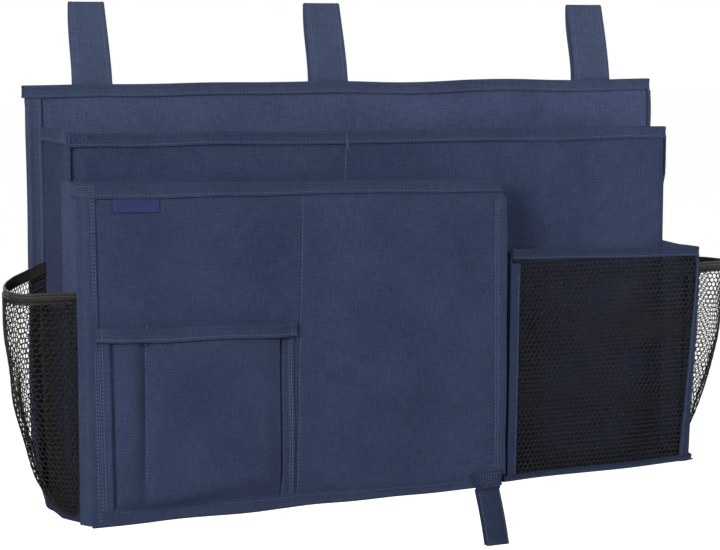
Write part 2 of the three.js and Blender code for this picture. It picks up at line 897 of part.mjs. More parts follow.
function loopPath() {
  const half = strapTape.thickness / 2;
  const sewnY = backRear + binding.leaf + 2 * gap + half;
  const frontFoot = [sewnY, back.height];
  const foldCentre = [sewnY + loops.lean + loops.foldRadius, back.height + loops.rise];
  const front = [
    [sewnY, back.height - loops.sewnDepth],
    frontFoot,
    [foldCentre[0] - loops.foldRadius, foldCentre[1]],
  ];
  for (let step = 1; step <= loops.foldSteps; step += 1) {
    const angle = Math.PI * (1 - step / loops.foldSteps);
    front.push([
      foldCentre[0] + loops.foldRadius * Math.cos(angle),
      foldCentre[1] + loops.foldRadius * Math.sin(angle),
    ]);
  }
  const crease = [foldCentre[0] + loops.foldRadius, foldCentre[1] - loops.creaseDrop];
  front.push(crease);
  const flapY = backRear + loops.loopPileThickness + loops.hookThickness + 3 * gap + half;
  const slope = loops.lean / loops.rise;
  const bellyZ = back.height + loops.bellyHeight;
  const flap = [
    [crease[0], crease[1] - gap],
    [foldCentre[0] + loops.foldRadius - slope * (foldCentre[1] - bellyZ), bellyZ],
    [flapY, back.height - loops.bellyStart],
    [flapY, flapFoot],
  ];
  return { front, flap, foldCentre, crease, flapY };
}

function buildLoop(side, centre) {
  const { front, flap, flapY } = loopPath();
  const left = centre - strapTape.width / 2;
  const right = centre + strapTape.width / 2;
  for (const [name, line] of [['front', front], ['flap', flap]]) {
    const outline = ribbonOutline(line, strapTape.thickness);
    addPiece(`${side}_strap_${name}`, sidePlate(outline, left, right), strapStuff());
  }

  const patchLow = flapFoot + loops.patchInset;
  const patchHigh = patchLow + loops.patchHeight;
  const hookRear = flapY - strapTape.thickness / 2 - gap;
  const patch = [
    [left + loops.patchInset, patchLow],
    [right - loops.patchInset, patchLow],
    [right - loops.patchInset, patchHigh],
    [left + loops.patchInset, patchHigh],
  ];
  addPiece(`${side}_hook_patch`, acrossPlate(patch, hookRear, loops.hookThickness), pileStuff());
  const pileRear = backRear + gap + loops.loopPileThickness;
  addPiece(`${side}_loop_patch`, acrossPlate(patch, pileRear, loops.loopPileThickness), pileStuff());
}

// Bottom strap: a stitched root patch on the bottom binding and a hanging double strap

function buildBottomStrap() {
  const centre = frontRight - bottomStrap.inset;
  const rootRear = frontFace - 2 * gap - binding.leaf;
  const rootThickness = 2 * bottomStrap.plyThickness + gap;
  const rootFace = rootRear - bottomStrap.plyThickness;
  const rootLow = -frontPocket.bottomDrop;
  const halfRoot = bottomStrap.rootWidth / 2;
  const root = [
    [centre - halfRoot, rootLow],
    [centre + halfRoot, rootLow],
    [centre + halfRoot, rootLow + bottomStrap.rootHeight],
    [centre - halfRoot, rootLow + bottomStrap.rootHeight],
  ];
  addPiece('bottom_strap_root', acrossPlate(root, rootRear, bottomStrap.plyThickness), strapStuff());

  const headRadius = rootThickness / 2;
  const pivotY = rootFace + headRadius;
  const pivotZ = rootLow - headRadius - gap;
  const head = [];
  for (let step = 0; step <= bottomStrap.headSteps; step += 1) {
    const angle = Math.PI * (step / bottomStrap.headSteps);
    head.push([headRadius * Math.cos(angle), headRadius * Math.sin(angle)]);
  }
  const split = bottomStrap.plyThickness - headRadius;
  const frontPly = [
    ...head,
    [-headRadius, -bottomStrap.length],
    [split, -bottomStrap.length],
    [split, -gap],
    [headRadius, -gap],
  ];
  const rearPly = [
    [split + gap, -bottomStrap.length],
    [headRadius, -bottomStrap.length],
    [headRadius, -2 * gap],
    [split + gap, -2 * gap],
  ];
  const half = bottomStrap.width / 2;
  const shear = new THREE.Matrix4().set(
    1, 0, -bottomStrap.slantShare, 0,
    0, 1, 0, 0,
    0, 0, 1, 0,
    0, 0, 0, 1,
  );
  const hanging = new THREE.Group();
  hanging.position.set(centre, pivotY, pivotZ);
  hanging.rotation.x = THREE.MathUtils.degToRad(-bottomStrap.leanDegrees);
  caddy.add(hanging);
  for (const [name, outline] of [['bottom_strap_front_ply', frontPly], ['bottom_strap_rear_ply', rearPly]]) {
    const geometry = sidePlate(outline, -half, half);
    geometry.applyMatrix4(shear);
    addPiece(name, geometry, strapStuff(), hanging);
  }
}

buildBackPanel();
buildSides();
buildBoxFront();
buildBase();
buildFrontPocketGussets();
buildFrontPocketWall();
buildSmallPocket();
buildMeshPocket();
buildSidePocket('left', -1, sideNet.leftBulge);
buildSidePocket('right', 1, sideNet.rightBulge);
for (const [side, centre] of Object.entries(loopCentres)) {
  buildLoop(side, centre);
}
buildBottomStrap();

// The origin is on the rail's top line, inside the fold of the loops

const { foldCentre } = loopPath();
const railTop = foldCentre[1] + loops.foldRadius - strapTape.thickness / 2;
caddy.position.set(0, -foldCentre[0], -railTop);

const part = new THREE.Group();
part.add(caddy);

export default part;
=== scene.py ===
"""A bedside caddy in navy cloth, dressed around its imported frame.

Sizes are in bench millimetres: X to the right, Y to the back, Z up, with Y = 0 on the front
of the back panel and Z = 0 under the base. Bench turns them into the frame's metres.
Edges sharper than CRISP_DEGREES stay crisp, cloth goes TUCK deep into its hem, and rows of
stitches lie THREAD_LIFT off the cloth.
"""

from __future__ import annotations

import logging
import math
from dataclasses import dataclass, field
from enum import Enum
from functools import partial
from typing import Callable, ClassVar, Iterable, Sequence

import bmesh
import bpy
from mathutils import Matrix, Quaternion, Vector, noise

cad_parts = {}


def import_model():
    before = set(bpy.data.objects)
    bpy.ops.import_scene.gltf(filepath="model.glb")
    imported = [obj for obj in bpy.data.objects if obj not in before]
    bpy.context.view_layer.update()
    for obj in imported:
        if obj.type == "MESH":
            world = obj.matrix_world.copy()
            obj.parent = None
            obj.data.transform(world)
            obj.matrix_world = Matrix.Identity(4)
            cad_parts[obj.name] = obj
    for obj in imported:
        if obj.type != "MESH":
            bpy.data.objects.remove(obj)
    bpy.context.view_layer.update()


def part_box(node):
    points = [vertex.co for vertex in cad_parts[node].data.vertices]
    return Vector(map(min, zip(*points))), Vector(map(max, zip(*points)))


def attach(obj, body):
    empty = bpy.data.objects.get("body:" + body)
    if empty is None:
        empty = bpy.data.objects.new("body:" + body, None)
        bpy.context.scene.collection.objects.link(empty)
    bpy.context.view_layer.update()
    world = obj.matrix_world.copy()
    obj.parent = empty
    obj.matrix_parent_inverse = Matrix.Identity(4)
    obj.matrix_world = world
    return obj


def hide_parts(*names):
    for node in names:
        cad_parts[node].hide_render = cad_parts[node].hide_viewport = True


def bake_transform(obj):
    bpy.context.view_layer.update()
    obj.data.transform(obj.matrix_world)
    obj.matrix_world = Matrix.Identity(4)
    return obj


log = logging.getLogger("caddy")

MM = 0.001
CRISP_DEGREES = 48.0
TUCK = 1.6
THREAD_LIFT = 0.12
WHITE = (1.0, 1.0, 1.0, 1.0)
FRONT = Vector((0.0, -1.0, 0.0))
LEFT = Vector((-1.0, 0.0, 0.0))
RIGHT = Vector((1.0, 0.0, 0.0))
UP = Vector((0.0, 0.0, 1.0))
DOWN = Vector((0.0, 0.0, -1.0))

Surface = Callable[[float, float], Vector]
Line = list[tuple[Vector, Vector]]
Pair = tuple[float, float]
Pairs = tuple[Pair, ...]
Triple = tuple[float, float, float]
Outline = list[Pair]
Corners = tuple[Vector, Vector, Vector, Vector]
Socket = bpy.types.NodeSocket
Material = bpy.types.Material
Piece = bpy.types.Object


def vec(x: float, y: float, z: float) -> Vector:
    """Returns a bench point or direction."""
    return Vector((x, y, z))


def upright(start: Pair, end: Pair, low: float, start_top: float, end_top: float) -> Corners:
    """Returns the corners of a panel that stands from start to end, seen from above."""
    return vec(*start, low), vec(*end, low), vec(*end, end_top), vec(*start, start_top)


class Body(str, Enum):
    """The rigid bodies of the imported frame."""

    CADDY = "caddy"
    FRONT_POCKET = "front_pocket"
    BOTTOM_STRAP = "bottom_strap"
    LEFT_FLAP = "left_flap"
    MIDDLE_FLAP = "middle_flap"
    RIGHT_FLAP = "right_flap"


class Slot(str, Enum):
    """The record's material slots."""

    CLOTH = "navy_cloth"
    BINDING = "navy_binding"
    LINING = "dark_lining"
    BOARD = "stiffener_board"
    NET = "black_net"
    ELASTIC = "black_elastic"
    LABEL = "label_satin"
    STRAP = "navy_strap"
    PILE = "hook_and_loop"


class Held(str, Enum):
    """How a sheet of cloth is held in the finished caddy."""

    HUNG = "hung"
    STRETCHED = "stretched"
    FOLDED = "folded"
    LAID = "laid"


def eased(share: float) -> float:
    """Returns share clamped to 0..1 and eased at both ends."""
    clamped = min(max(share, 0.0), 1.0)
    return clamped * clamped * (3.0 - 2.0 * clamped)


def mixed(low: float, high: float, share: float) -> float:
    """Returns the value that lies share of the way from low to high."""
    return low + (high - low) * share


def bell(distance: float, width: float) -> float:
    """Returns 1 at no distance, falling off smoothly over about width."""
    return math.exp(-((distance / width) ** 2))


def ripple(a: float, b: float, period: float, seed: float) -> float:
    """Returns smooth noise of about -1 to 1 that repeats nowhere and is the same each run."""
    return 2.0 * noise.noise(vec(a / period, b / period, seed))


def held_off(out: float, softness: float = 0.22) -> float:
    """Returns out, but never below zero, where a board or a wall holds the cloth off.

    Args:
        out: How far the cloth would stand out.
        softness: How gently it levels off.

    Returns:
        The distance.
    """
    if out > 12.0 * softness:
        return out
    return softness * math.log1p(math.exp(out / softness))


def between(knots: Sequence[Pair], place: float) -> float:
    """Returns the value at a place on a line through knots of place and value.

    Args:
        knots: Pairs of place and value, by rising place.
        place: The place.

    Returns:
        The value there.
    """
    if place <= knots[0][0]:
        return knots[0][1]
    for (a, low), (b, high) in zip(knots, knots[1:]):
        if place <= b:
            return mixed(low, high, (place - a) / (b - a))
    return knots[-1][1]


def rounded(line: list[Vector], rounds: int = 3) -> list[Vector]:
    """Returns a line whose corners are cut again and again until it is smooth.

    Args:
        line: The line's points.
        rounds: How often its corners are cut.

    Returns:
        The smooth line.
    """
    for _ in range(rounds):
        cut = [line[0]]
        for a, b in zip(line, line[1:]):
            cut += [a.lerp(b, 0.25), a.lerp(b, 0.75)]
        line = [*cut, line[-1]]
    return line


def seam_lines(length: float, step: float, marks: Sequence[float] = ()) -> list[float]:
    """Returns grid places along a cloth edge, finer at its seams.

    Args:
        length: The edge's length.
        step: The usual distance between two places.
        marks: Where seams cross the edge.

    Returns:
        Rising places from 0 to length.
    """
    near = (-3.2, -1.9, -1.0, -0.35, 0.35, 1.0, 1.9, 3.2)
    least = 0.4
    count = max(2, round(length / step))
    places = [length * index / count for index in range(count + 1)]
    places += [mark + offset for mark in marks for offset in near]
    kept: list[float] = []
    for place in sorted(p for p in places if 0.0 <= p <= length):
        if not kept or place - kept[-1] > least:
            kept.append(place)
    kept[-1] = length
    return kept


@dataclass(frozen=True)
class Box:
    """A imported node's box, in bench millimetres."""

    x0: float
    y0: float
    z0: float
    x1: float
    y1: float
    z1: float

    @property
    def wide(self) -> float:
        """Returns its size along X."""
        return self.x1 - self.x0

    @property
    def deep(self) -> float:
        """Returns its size along Y."""
        return self.y1 - self.y0

    @property
    def tall(self) -> float:
        """Returns its size along Z."""
        return self.z1 - self.z0


@dataclass(frozen=True)
class Bench:
    """Turns bench millimetres into the frame's metres."""

    front: float
    floor: float

    @classmethod
    def from_frame(cls) -> "Bench":
        """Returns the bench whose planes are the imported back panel's face and the base's foot.

        Returns:
            The bench.
        """
        back_low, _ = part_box("back_front_cloth")
        base_low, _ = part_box("base_cloth")
        return cls(front=back_low.y, floor=base_low.z)

    def metres(self, point: Vector) -> Vector:
        """Returns a bench point in the frame's metres."""
        return vec(point.x * MM, self.front + point.y * MM, self.floor + point.z * MM)

    def box(self, node: str) -> Box:
        """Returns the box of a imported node.

        Args:
            node: The node's name.

        Returns:
            Its lowest and highest corner on the bench.
        """
        low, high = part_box(node)
        return Box(
            low.x / MM, (low.y - self.front) / MM, (low.z - self.floor) / MM, high.x / MM,
            (high.y - self.front) / MM, (high.z - self.floor) / MM,
        )


class Draft:
    """Points, faces and cloth coordinates of a piece that is being made."""

    def __init__(self) -> None:
        """Starts an empty draft."""
        self.points: list[Vector] = []
        self.faces: list[tuple[int, ...]] = []
        self.cloth: list[Pairs] = []

    def add_point(self, point: Vector) -> int:
        """Adds a point and returns its index."""
        self.points.append(point)
        return len(self.points) - 1

    def add_face(self, corners: Sequence[int], cloth: Sequence[Pair]) -> None:
        """Adds a face with these corners, each with its cloth coordinate in millimetres."""
        self.faces.append(tuple(corners))
        self.cloth.append(tuple(cloth))

    def to_object(self, name: str, bench: Bench) -> Piece:
        """Makes the mesh object.

        Args:
            name: The object's name.
            bench: What turns its points into metres.

        Returns:
            The new object, linked to the scene.
        """
        mesh = bpy.data.meshes.new(name)
        mesh.from_pydata([bench.metres(point) for point in self.points], [], self.faces)
        layer = mesh.uv_layers.new(name="cloth")
        layer.data.foreach_set("uv", [c for face in self.cloth for pair in face for c in pair])
        shell = bmesh.new()
        shell.from_mesh(mesh)
        bmesh.ops.recalc_face_normals(shell, faces=shell.faces)
        shell.to_mesh(mesh)
        shell.free()
        mesh.shade_smooth()
        mesh.set_sharp_from_angle(angle=math.radians(CRISP_DEGREES))
        made = bpy.data.objects.new(name, mesh)
        bpy.context.scene.collection.objects.link(made)
        return made


def cloth_sheet(surface: Surface, us: list[float], vs: list[float], thickness: float) -> Draft:
    """Makes a closed sheet of cloth with soft edges.

    Args:
        surface: Gives the outer face's point for a place (u, v) on the cloth.
        us: Places across the cloth.
        vs: Places along the cloth.
        thickness: How thick the cloth is, measured inwards.

    Returns:
        The sheet's draft.
    """
    edge_swell = 0.3
    columns, rows = len(us), len(vs)
    outer = [[surface(u, v) for v in vs] for u in us]
    draft = Draft()
    normals: list[list[Vector]] = []
    for i in range(columns):
        strip: list[Vector] = []
        for j in range(rows):
            across = outer[min(i + 1, columns - 1)][j] - outer[max(i - 1, 0)][j]
            along = outer[i][min(j + 1, rows - 1)] - outer[i][max(j - 1, 0)]
            strip.append(across.cross(along).normalized())
        normals.append(strip)
    face = [[draft.add_point(outer[i][j]) for j in range(rows)] for i in range(columns)]
    back = [
        [draft.add_point(outer[i][j] - normals[i][j] * thickness) for j in range(rows)]
        for i in range(columns)
    ]
    for i in range(columns - 1):
        for j in range(rows - 1):
            places = ((i, j), (i + 1, j), (i + 1, j + 1), (i, j + 1))
            cloth = [(us[a], vs[b]) for a, b in places]
            draft.add_face([face[a][b] for a, b in places], cloth)
            draft.add_face([back[a][b] for a, b in reversed(places)], cloth[::-1])
    last_i, last_j = columns - 1, rows - 1
    loop = [(i, 0) for i in range(columns)]
    loop += [(last_i, j) for j in range(1, rows)]
    loop += [(i, last_j) for i in range(last_i - 1, -1, -1)]
    loop += [(0, j) for j in range(last_j - 1, 0, -1)]
    rim: list[int] = []
    for i, j in loop:
        inside = outer[min(max(i, 1), last_i - 1)][min(max(j, 1), last_j - 1)]
        outward = (outer[i][j] - inside).normalized()
        middle = outer[i][j] - normals[i][j] * (thickness / 2)
        rim.append(draft.add_point(middle + outward * (thickness * edge_swell)))
    for index, (i, j) in enumerate(loop):
        k = (index + 1) % len(loop)
        a, b = loop[k]
        here, there = (us[i], vs[j]), (us[a], vs[b])
        draft.add_face([face[i][j], rim[index], rim[k], face[a][b]], [here, here, there, there])
        draft.add_face([rim[index], back[i][j], back[a][b], rim[k]], [here, here, there, there])
    return draft


def swept(
    path: Sequence[Vector], sides: Sequence[Vector], ups: Sequence[Vector],
    outline_at: Callable[[int], Outline],
) -> Draft:
    """Sweeps a closed outline along a path and caps both ends.

    Args:
        path: The points of the path.
        sides: For each point, the direction of the outline's first coordinate.
        ups: For each point, the direction of its second coordinate.
        outline_at: Gives the outline for the index of a point.

    Returns:
        The closed draft.
    """
    draft = Draft()
    rings: list[list[int]] = []
    run = 0.0
    runs: list[float] = []
    for index, (point, side, up) in enumerate(zip(path, sides, ups)):
        if index:
            run += (point - path[index - 1]).length
        runs.append(run)
        outline = outline_at(index)
        rings.append([draft.add_point(point + side * a + up * b) for a, b in outline])
    first = outline_at(0)
    around = [0.0]
    for k, (a, b) in enumerate(first):
        c, d = first[(k + 1) % len(first)]
        around.append(around[-1] + math.hypot(c - a, d - b))
    for index in range(len(path) - 1):
        low, high = rings[index], rings[index + 1]
        for k in range(len(low)):
            n = (k + 1) % len(low)
            corners = [low[k], low[n], high[n], high[k]]
            u0, u1, v0, v1 = runs[index], runs[index + 1], around[k], around[k + 1]
            draft.add_face(corners, [(u0, v0), (u0, v1), (u1, v1), (u1, v0)])
    draft.add_face(rings[0][::-1], [pair for pair in first[::-1]])
    draft.add_face(rings[-1], [pair for pair in outline_at(len(path) - 1)])
    return draft


def joined(drafts: Iterable[Draft]) -> Draft:
    """Returns one draft that holds all the given ones.

    Args:
        drafts: The drafts.

    Returns:
        The joined draft.
    """
    whole = Draft()
    for draft in drafts:
        start = len(whole.points)
        whole.points += draft.points
        whole.faces += [tuple(start + corner for corner in face) for face in draft.faces]
        whole.cloth += draft.cloth
    return whole


@dataclass
class Route:
    """A line on a piece's surface, with the direction that leaves the surface."""

    points: list[Vector]
    normals: list[Vector]

    def length(self) -> float:
        """Returns the line's length."""
        return sum((b - a).length for a, b in zip(self.points, self.points[1:]))

    def at(self, run: float) -> tuple[Vector, Vector]:
        """Finds a place on the line.

        Args:
            run: How far along the line it lies.

        Returns:
            The point and the surface's direction there.
        """
        for index, (a, b) in enumerate(zip(self.points, self.points[1:])):
            span = (b - a).length
            if run <= span or index == len(self.points) - 2:
                share = min(max(run / span, 0.0), 1.0) if span else 0.0
                normal = self.normals[index].lerp(self.normals[index + 1], share)
                return a.lerp(b, share), normal.normalized()
            run -= span
        return self.points[-1], self.normals[-1]


@dataclass(frozen=True)
class Thread:
    """Sewing thread, and how it is stitched."""

    pitch: float = 3.1
    length: float = 2.35
    width: float = 0.62
    rise: float = 0.36
    sink: float = 0.12
    DENSE: ClassVar["Thread"]

    def stitch(self, start: Vector, end: Vector, normal: Vector) -> Draft:
        """Makes one stitch.

        Args:
            start: Where the thread comes out of the cloth.
            end: Where it goes in again.
            normal: The direction that leaves the cloth.

        Returns:
            A small pointed body that lies on the cloth.
        """
        along = (end - start).normalized()
        aside = along.cross(normal).normalized() * (self.width / 2)
        draft = Draft()
        tips = [draft.add_point(p - normal * self.sink) for p in (start, end)]
        rings = []
        for share in (0.25, 0.75):
            middle = start.lerp(end, share)
            around = (aside, normal * self.rise, -aside, -normal * self.sink)
            rings.append([draft.add_point(middle + reach) for reach in around])
        blank = (0.0, 0.0)
        for k in range(4):
            n = (k + 1) % 4
            draft.add_face([tips[0], rings[0][n], rings[0][k]], [blank] * 3)
            draft.add_face([rings[0][k], rings[0][n], rings[1][n], rings[1][k]], [blank] * 4)
            draft.add_face([tips[1], rings[1][k], rings[1][n]], [blank] * 3)
        return draft

    def row(self, route: Route) -> Draft:
        """Makes a row of stitches.

        Args:
            route: The line to stitch along.

        Returns:
            All the stitches in one draft.
        """
        total = route.length()
        count = max(1, int(total / self.pitch))
        stitches = []
        for index in range(count):
            run = (index + 0.5) * total / count
            start, _ = route.at(run - self.length / 2)
            end, _ = route.at(run + self.length / 2)
            _, normal = route.at(run)
            if (end - start).length > self.width:
                stitches.append(self.stitch(start, end, normal))
        return joined(stitches)

    def tail(self, start: Vector, reach: Vector, normal: Vector) -> Draft:
        """Makes a loose thread end.

        Args:
            start: Where it leaves the seam.
            reach: From there to its end.
            normal: The direction that leaves the cloth.

        Returns:
            A thin curved thread.
        """
        steps = 6
        radius = self.width * 0.42
        aside = reach.cross(normal).normalized()
        path = []
        for step in range(steps + 1):
            share = step / steps
            bow = math.sin(math.pi * share)
            path.append(start + reach * share + aside * (0.9 * bow) + normal * (0.3 + 0.5 * bow))
        ring = [(math.cos(t) * radius, math.sin(t) * radius) for t in turns(5)]
        return swept(path, [aside] * len(path), [normal] * len(path), lambda _: ring)


Thread.DENSE = Thread(pitch=1.75, length=1.25, width=0.7, rise=0.4)


def turns(count: int) -> list[float]:
    """Returns count angles evenly round a full turn."""
    return [2.0 * math.pi * index / count for index in range(count)]


@dataclass(frozen=True)
class Crease:
    """A line along which cloth is drawn in, or stands up where depth is negative."""

    start: Pair
    end: Pair
    depth: float
    width: float

    def out(self, a: float, b: float) -> float:
        """Returns how far the cloth stands out at a place because of this crease.

        Args:
            a: The place across.
            b: The place up.

        Returns:
            The distance, below zero where the cloth is drawn in.
        """
        (sa, sb), (ea, eb) = self.start, self.end
        da, db = ea - sa, eb - sb
        span = da * da + db * db
        share = min(max(((a - sa) * da + (b - sb) * db) / span, 0.0), 1.0)
        distance = math.hypot(a - sa - share * da, b - sb - share * db)
        return -self.depth * bell(distance, self.width)


@dataclass(frozen=True)
class Slack:
    """How a panel's cloth leaves its plane."""

    wave: float = 0.7
    period: float = 95.0
    seed: float = 0.0
    loft: float = 1.0
    swell: float = 0.0
    margin: float = 26.0
    pucker: float = 0.3
    pucker_period: float = 8.0
    fine: float = 0.35
    hem: float = 0.0
    lie_flat: float = 0.5
    creases: tuple[Crease, ...] = ()

    def out(self, a: float, b: float, s: float, t: float, width: float, height: float) -> float:
        """Finds how far the cloth stands out.

        Args:
            a: The place across, in bench millimetres.
            b: The place up, in bench millimetres.
            s: The same place as a share of the panel's width.
            t: And as a share of its height.
            width: The panel's width.
            height: The panel's height.

        Returns:
            The distance out of the panel's plane.
        """
        edge = min(s * width, (1.0 - s) * width, t * height, (1.0 - t) * height - self.hem)
        free = eased(edge / self.margin)
        gentle = ripple(a, b, self.period, self.seed)
        fine = self.fine * ripple(a, b, self.period / 3.1, self.seed + 7.0)
        crown = math.sin(math.pi * s) * math.sin(math.pi * t)
        drawn = sum(crease.out(a, b) for crease in self.creases)
        sewn = self.pucker * ripple(a, b, self.pucker_period, self.seed + 2.0) * bell(edge - 13.0, 9.0)
        out = held_off(
            free * (self.loft + self.wave * (gentle + fine)) + self.swell * crown + drawn + sewn
        )
        if self.hem == 0.0:
            return out
        side = min(s * width, (1.0 - s) * width)
        loose = eased(min((1.0 - t) * height - self.hem, side + 3.0) / 18.0)
        return min(out, mixed(self.lie_flat, out, loose))


@dataclass
class Panel:
    """A four-cornered piece of cloth, given from its bottom left, seen from outside."""

    corners: Corners
    slack: Slack = field(default_factory=Slack)
    thickness: float = 1.0
    step: float = 7.0
    seams: tuple[float, ...] = ()
    levels: tuple[float, ...] = ()
    sideways: bool = False
    bend: Callable[[Vector], Vector] | None = None

    def __post_init__(self) -> None:
        """Measures the panel."""
        low_left, low_right, _, high_left = self.corners
        self.width = (low_right - low_left).length
        self.height = (high_left - low_left).length
        self.normal = (low_right - low_left).cross(high_left - low_left).normalized()

    def flat(self, u: float, v: float) -> Vector:
        """Returns the point of the flat panel at a place on the cloth.

        Args:
            u: The place across the cloth.
            v: The place up the cloth.

        Returns:
            The bench point.
        """
        low_left, low_right, high_right, high_left = self.corners
        s, t = u / self.width, v / self.height
        point = low_left.lerp(low_right, s).lerp(high_left.lerp(high_right, s), t)
        return self.bend(point) if self.bend else point

    def point(self, u: float, v: float) -> Vector:
        """Returns the point of the slack panel at a place on the cloth.

        Args:
            u: The place across the cloth.
            v: The place up the cloth.

        Returns:
            The bench point.
        """
        flat = self.flat(u, v)
        across = flat.y if self.sideways else flat.x
        s, t = u / self.width, v / self.height
        out = self.slack.out(across, flat.z, s, t, self.width, self.height)
        return flat + self.normal * out

    def place(self, across: float, level: float) -> Pair:
        """Returns the place on the cloth that lies at a bench x, or y if sideways, and z.

        Args:
            across: The bench x, or y.
            level: The bench z.

        Returns:
            The place across and up the cloth.
        """
        low_left, low_right, _, high_left = self.corners
        start = low_left.y if self.sideways else low_left.x
        end = low_right.y if self.sideways else low_right.x
        v = (level - low_left.z) / (high_left.z - low_left.z) * self.height
        return (across - start) / (end - start) * self.width, v

    def draft(self) -> Draft:
        """Returns the panel's closed sheet.

        Returns:
            The sheet.
        """
        low = self.corners[0].z
        us = seam_lines(self.width, self.step, [self.place(a, low)[0] for a in self.seams])
        vs = seam_lines(self.height, self.step, [b - low for b in self.levels])
        return cloth_sheet(self.point, us, vs, self.thickness)

    def seam(self, start: Pair, end: Pair) -> Route:
        """Lays a line on the cloth.

        Args:
            start: Its first bench place, across and up.
            end: Its last one.

        Returns:
            The line, following the slack.
        """
        steps = max(2, int(math.hypot(end[0] - start[0], end[1] - start[1]) / 4.0))
        lift, points = 0.1, []
        for step in range(steps + 1):
            share = step / steps
            across, level = mixed(start[0], end[0], share), mixed(start[1], end[1], share)
            points.append(self.point(*self.place(across, level)) + self.normal * lift)
        return Route(points, [self.normal] * len(points))

    def size(self) -> Pair:
        """Returns the cut cloth's width and height, in metres.

        Returns:
            Both measures.
        """
        low_left, low_right, high_right, high_left = self.corners
        mean = ((low_right - low_left).length + (high_right - high_left).length) / 2
        tall = ((high_left - low_left).length + (high_right - low_right).length) / 2
        return mean * MM, tall * MM


@dataclass(frozen=True)
class HemShape:
    """The cross-section of a folded hem or binding.

    Its first coordinate leaves the wall's outer face, and its second one points to the fold.
    """

    height: float
    wall: float
    leaf: float = 1.1
    clearance: float = 0.4
    stitch_share: float = 0.78
    rows: Pairs = (
        (1.0, 0.3), (0.965, 0.75), (0.9, 0.7), (0.84, 0.4), (0.78, 0.0), (0.71, 0.1), (0.58, -0.1),
        (0.44, -0.3), (0.3, -0.1), (0.16, 0.35), (0.07, 0.2), (0.015, -0.5),
    )

    def outline(self, wall: float | None = None, height: float | None = None) -> Outline:
        """Works out the section.

        Args:
            wall: The wall's thickness there, if it isn't the usual one.
            height: The hem's height there, if it isn't the usual one.

        Returns:
            The closed outline.
        """
        thick = self.wall if wall is None else wall
        tall = self.height if height is None else height
        outer = self.clearance + self.leaf
        front = [(outer + swell, -share * tall) for share, swell in self.rows]
        rear = [(-thick - outer - swell, -share * tall) for share, swell in reversed(self.rows)]
        inner = -tall + self.leaf * 0.2
        hollow = [
            (-thick - self.clearance, inner), (-thick - self.clearance, -self.leaf),
            (self.clearance, -self.leaf), (self.clearance, inner),
        ]
        return [*front, (-thick / 2, 0.05), *rear, *hollow]

    def stitch_place(self, height: float | None = None) -> Pair:
        """Returns where the row of stitches lies on the section.

        Args:
            height: The hem's height there, if it isn't the usual one.

        Returns:
            Both coordinates.
        """
        tall = self.height if height is None else height
        pinched = dict(self.rows)[self.stitch_share]
        return self.clearance + self.leaf + pinched + 0.05, -self.stitch_share * tall


@dataclass
class HemRun:
    """A hem laid along a path on the outer face of its wall."""

    shape: HemShape
    path: list[Vector]
    sides: list[Vector]
    ups: list[Vector]
    walls: list[float] | None = None
    heights: list[float] | None = None

    @classmethod
    def straight(
        cls, shape: HemShape, start: Vector, end: Vector, side: Vector, up: Vector = UP,
        waver: float = 0.5, seed: float = 0.0, step: float = 9.0,
    ) -> "HemRun":
        """Lays a hem along a line.

        Args:
            shape: The hem's section.
            start: The fold line's first point.
            end: Its last one.
            side: The direction that leaves the wall's outer face.
            up: The direction of the fold.
            waver: How far the hem wanders.
            seed: Which waver.
            step: The distance between sections.

        Returns:
            The hem.
        """
        count = max(3, int((end - start).length / step))
        path = []
        for index in range(count + 1):
            share = index / count
            run = (end - start).length * share
            free = eased(min(share, 1.0 - share) * 8.0)
            high = waver * free * ripple(run, seed, 85.0, seed)
            out = 0.6 * waver * free * ripple(run, seed, 60.0, seed + 3.0)
            path.append(start.lerp(end, share) + up * high + side * out)
        return cls(shape, path, [side] * len(path), [up] * len(path))

    def _wall(self, index: int) -> float:
        """Returns the wall's thickness at a section."""
        return self.shape.wall if self.walls is None else self.walls[index]

    def _height(self, index: int) -> float:
        """Returns the hem's height at a section."""
        return self.shape.height if self.heights is None else self.heights[index]

    def draft(self) -> Draft:
        """Returns the hem's closed body.

        Returns:
            The body.
        """
        return swept(
            self.path, self.sides, self.ups,
            lambda index: self.shape.outline(self._wall(index), self._height(index)),
        )

    def stitches(self) -> Route:
        """Returns the line of stitches on the hem's outer leaf.

        Returns:
            The line's route.
        """
        points = []
        for index, (point, side, up) in enumerate(zip(self.path, self.sides, self.ups)):
            out, high = self.shape.stitch_place(self._height(index))
            points.append(point + side * out + up * high)
        return Route(points, list(self.sides))


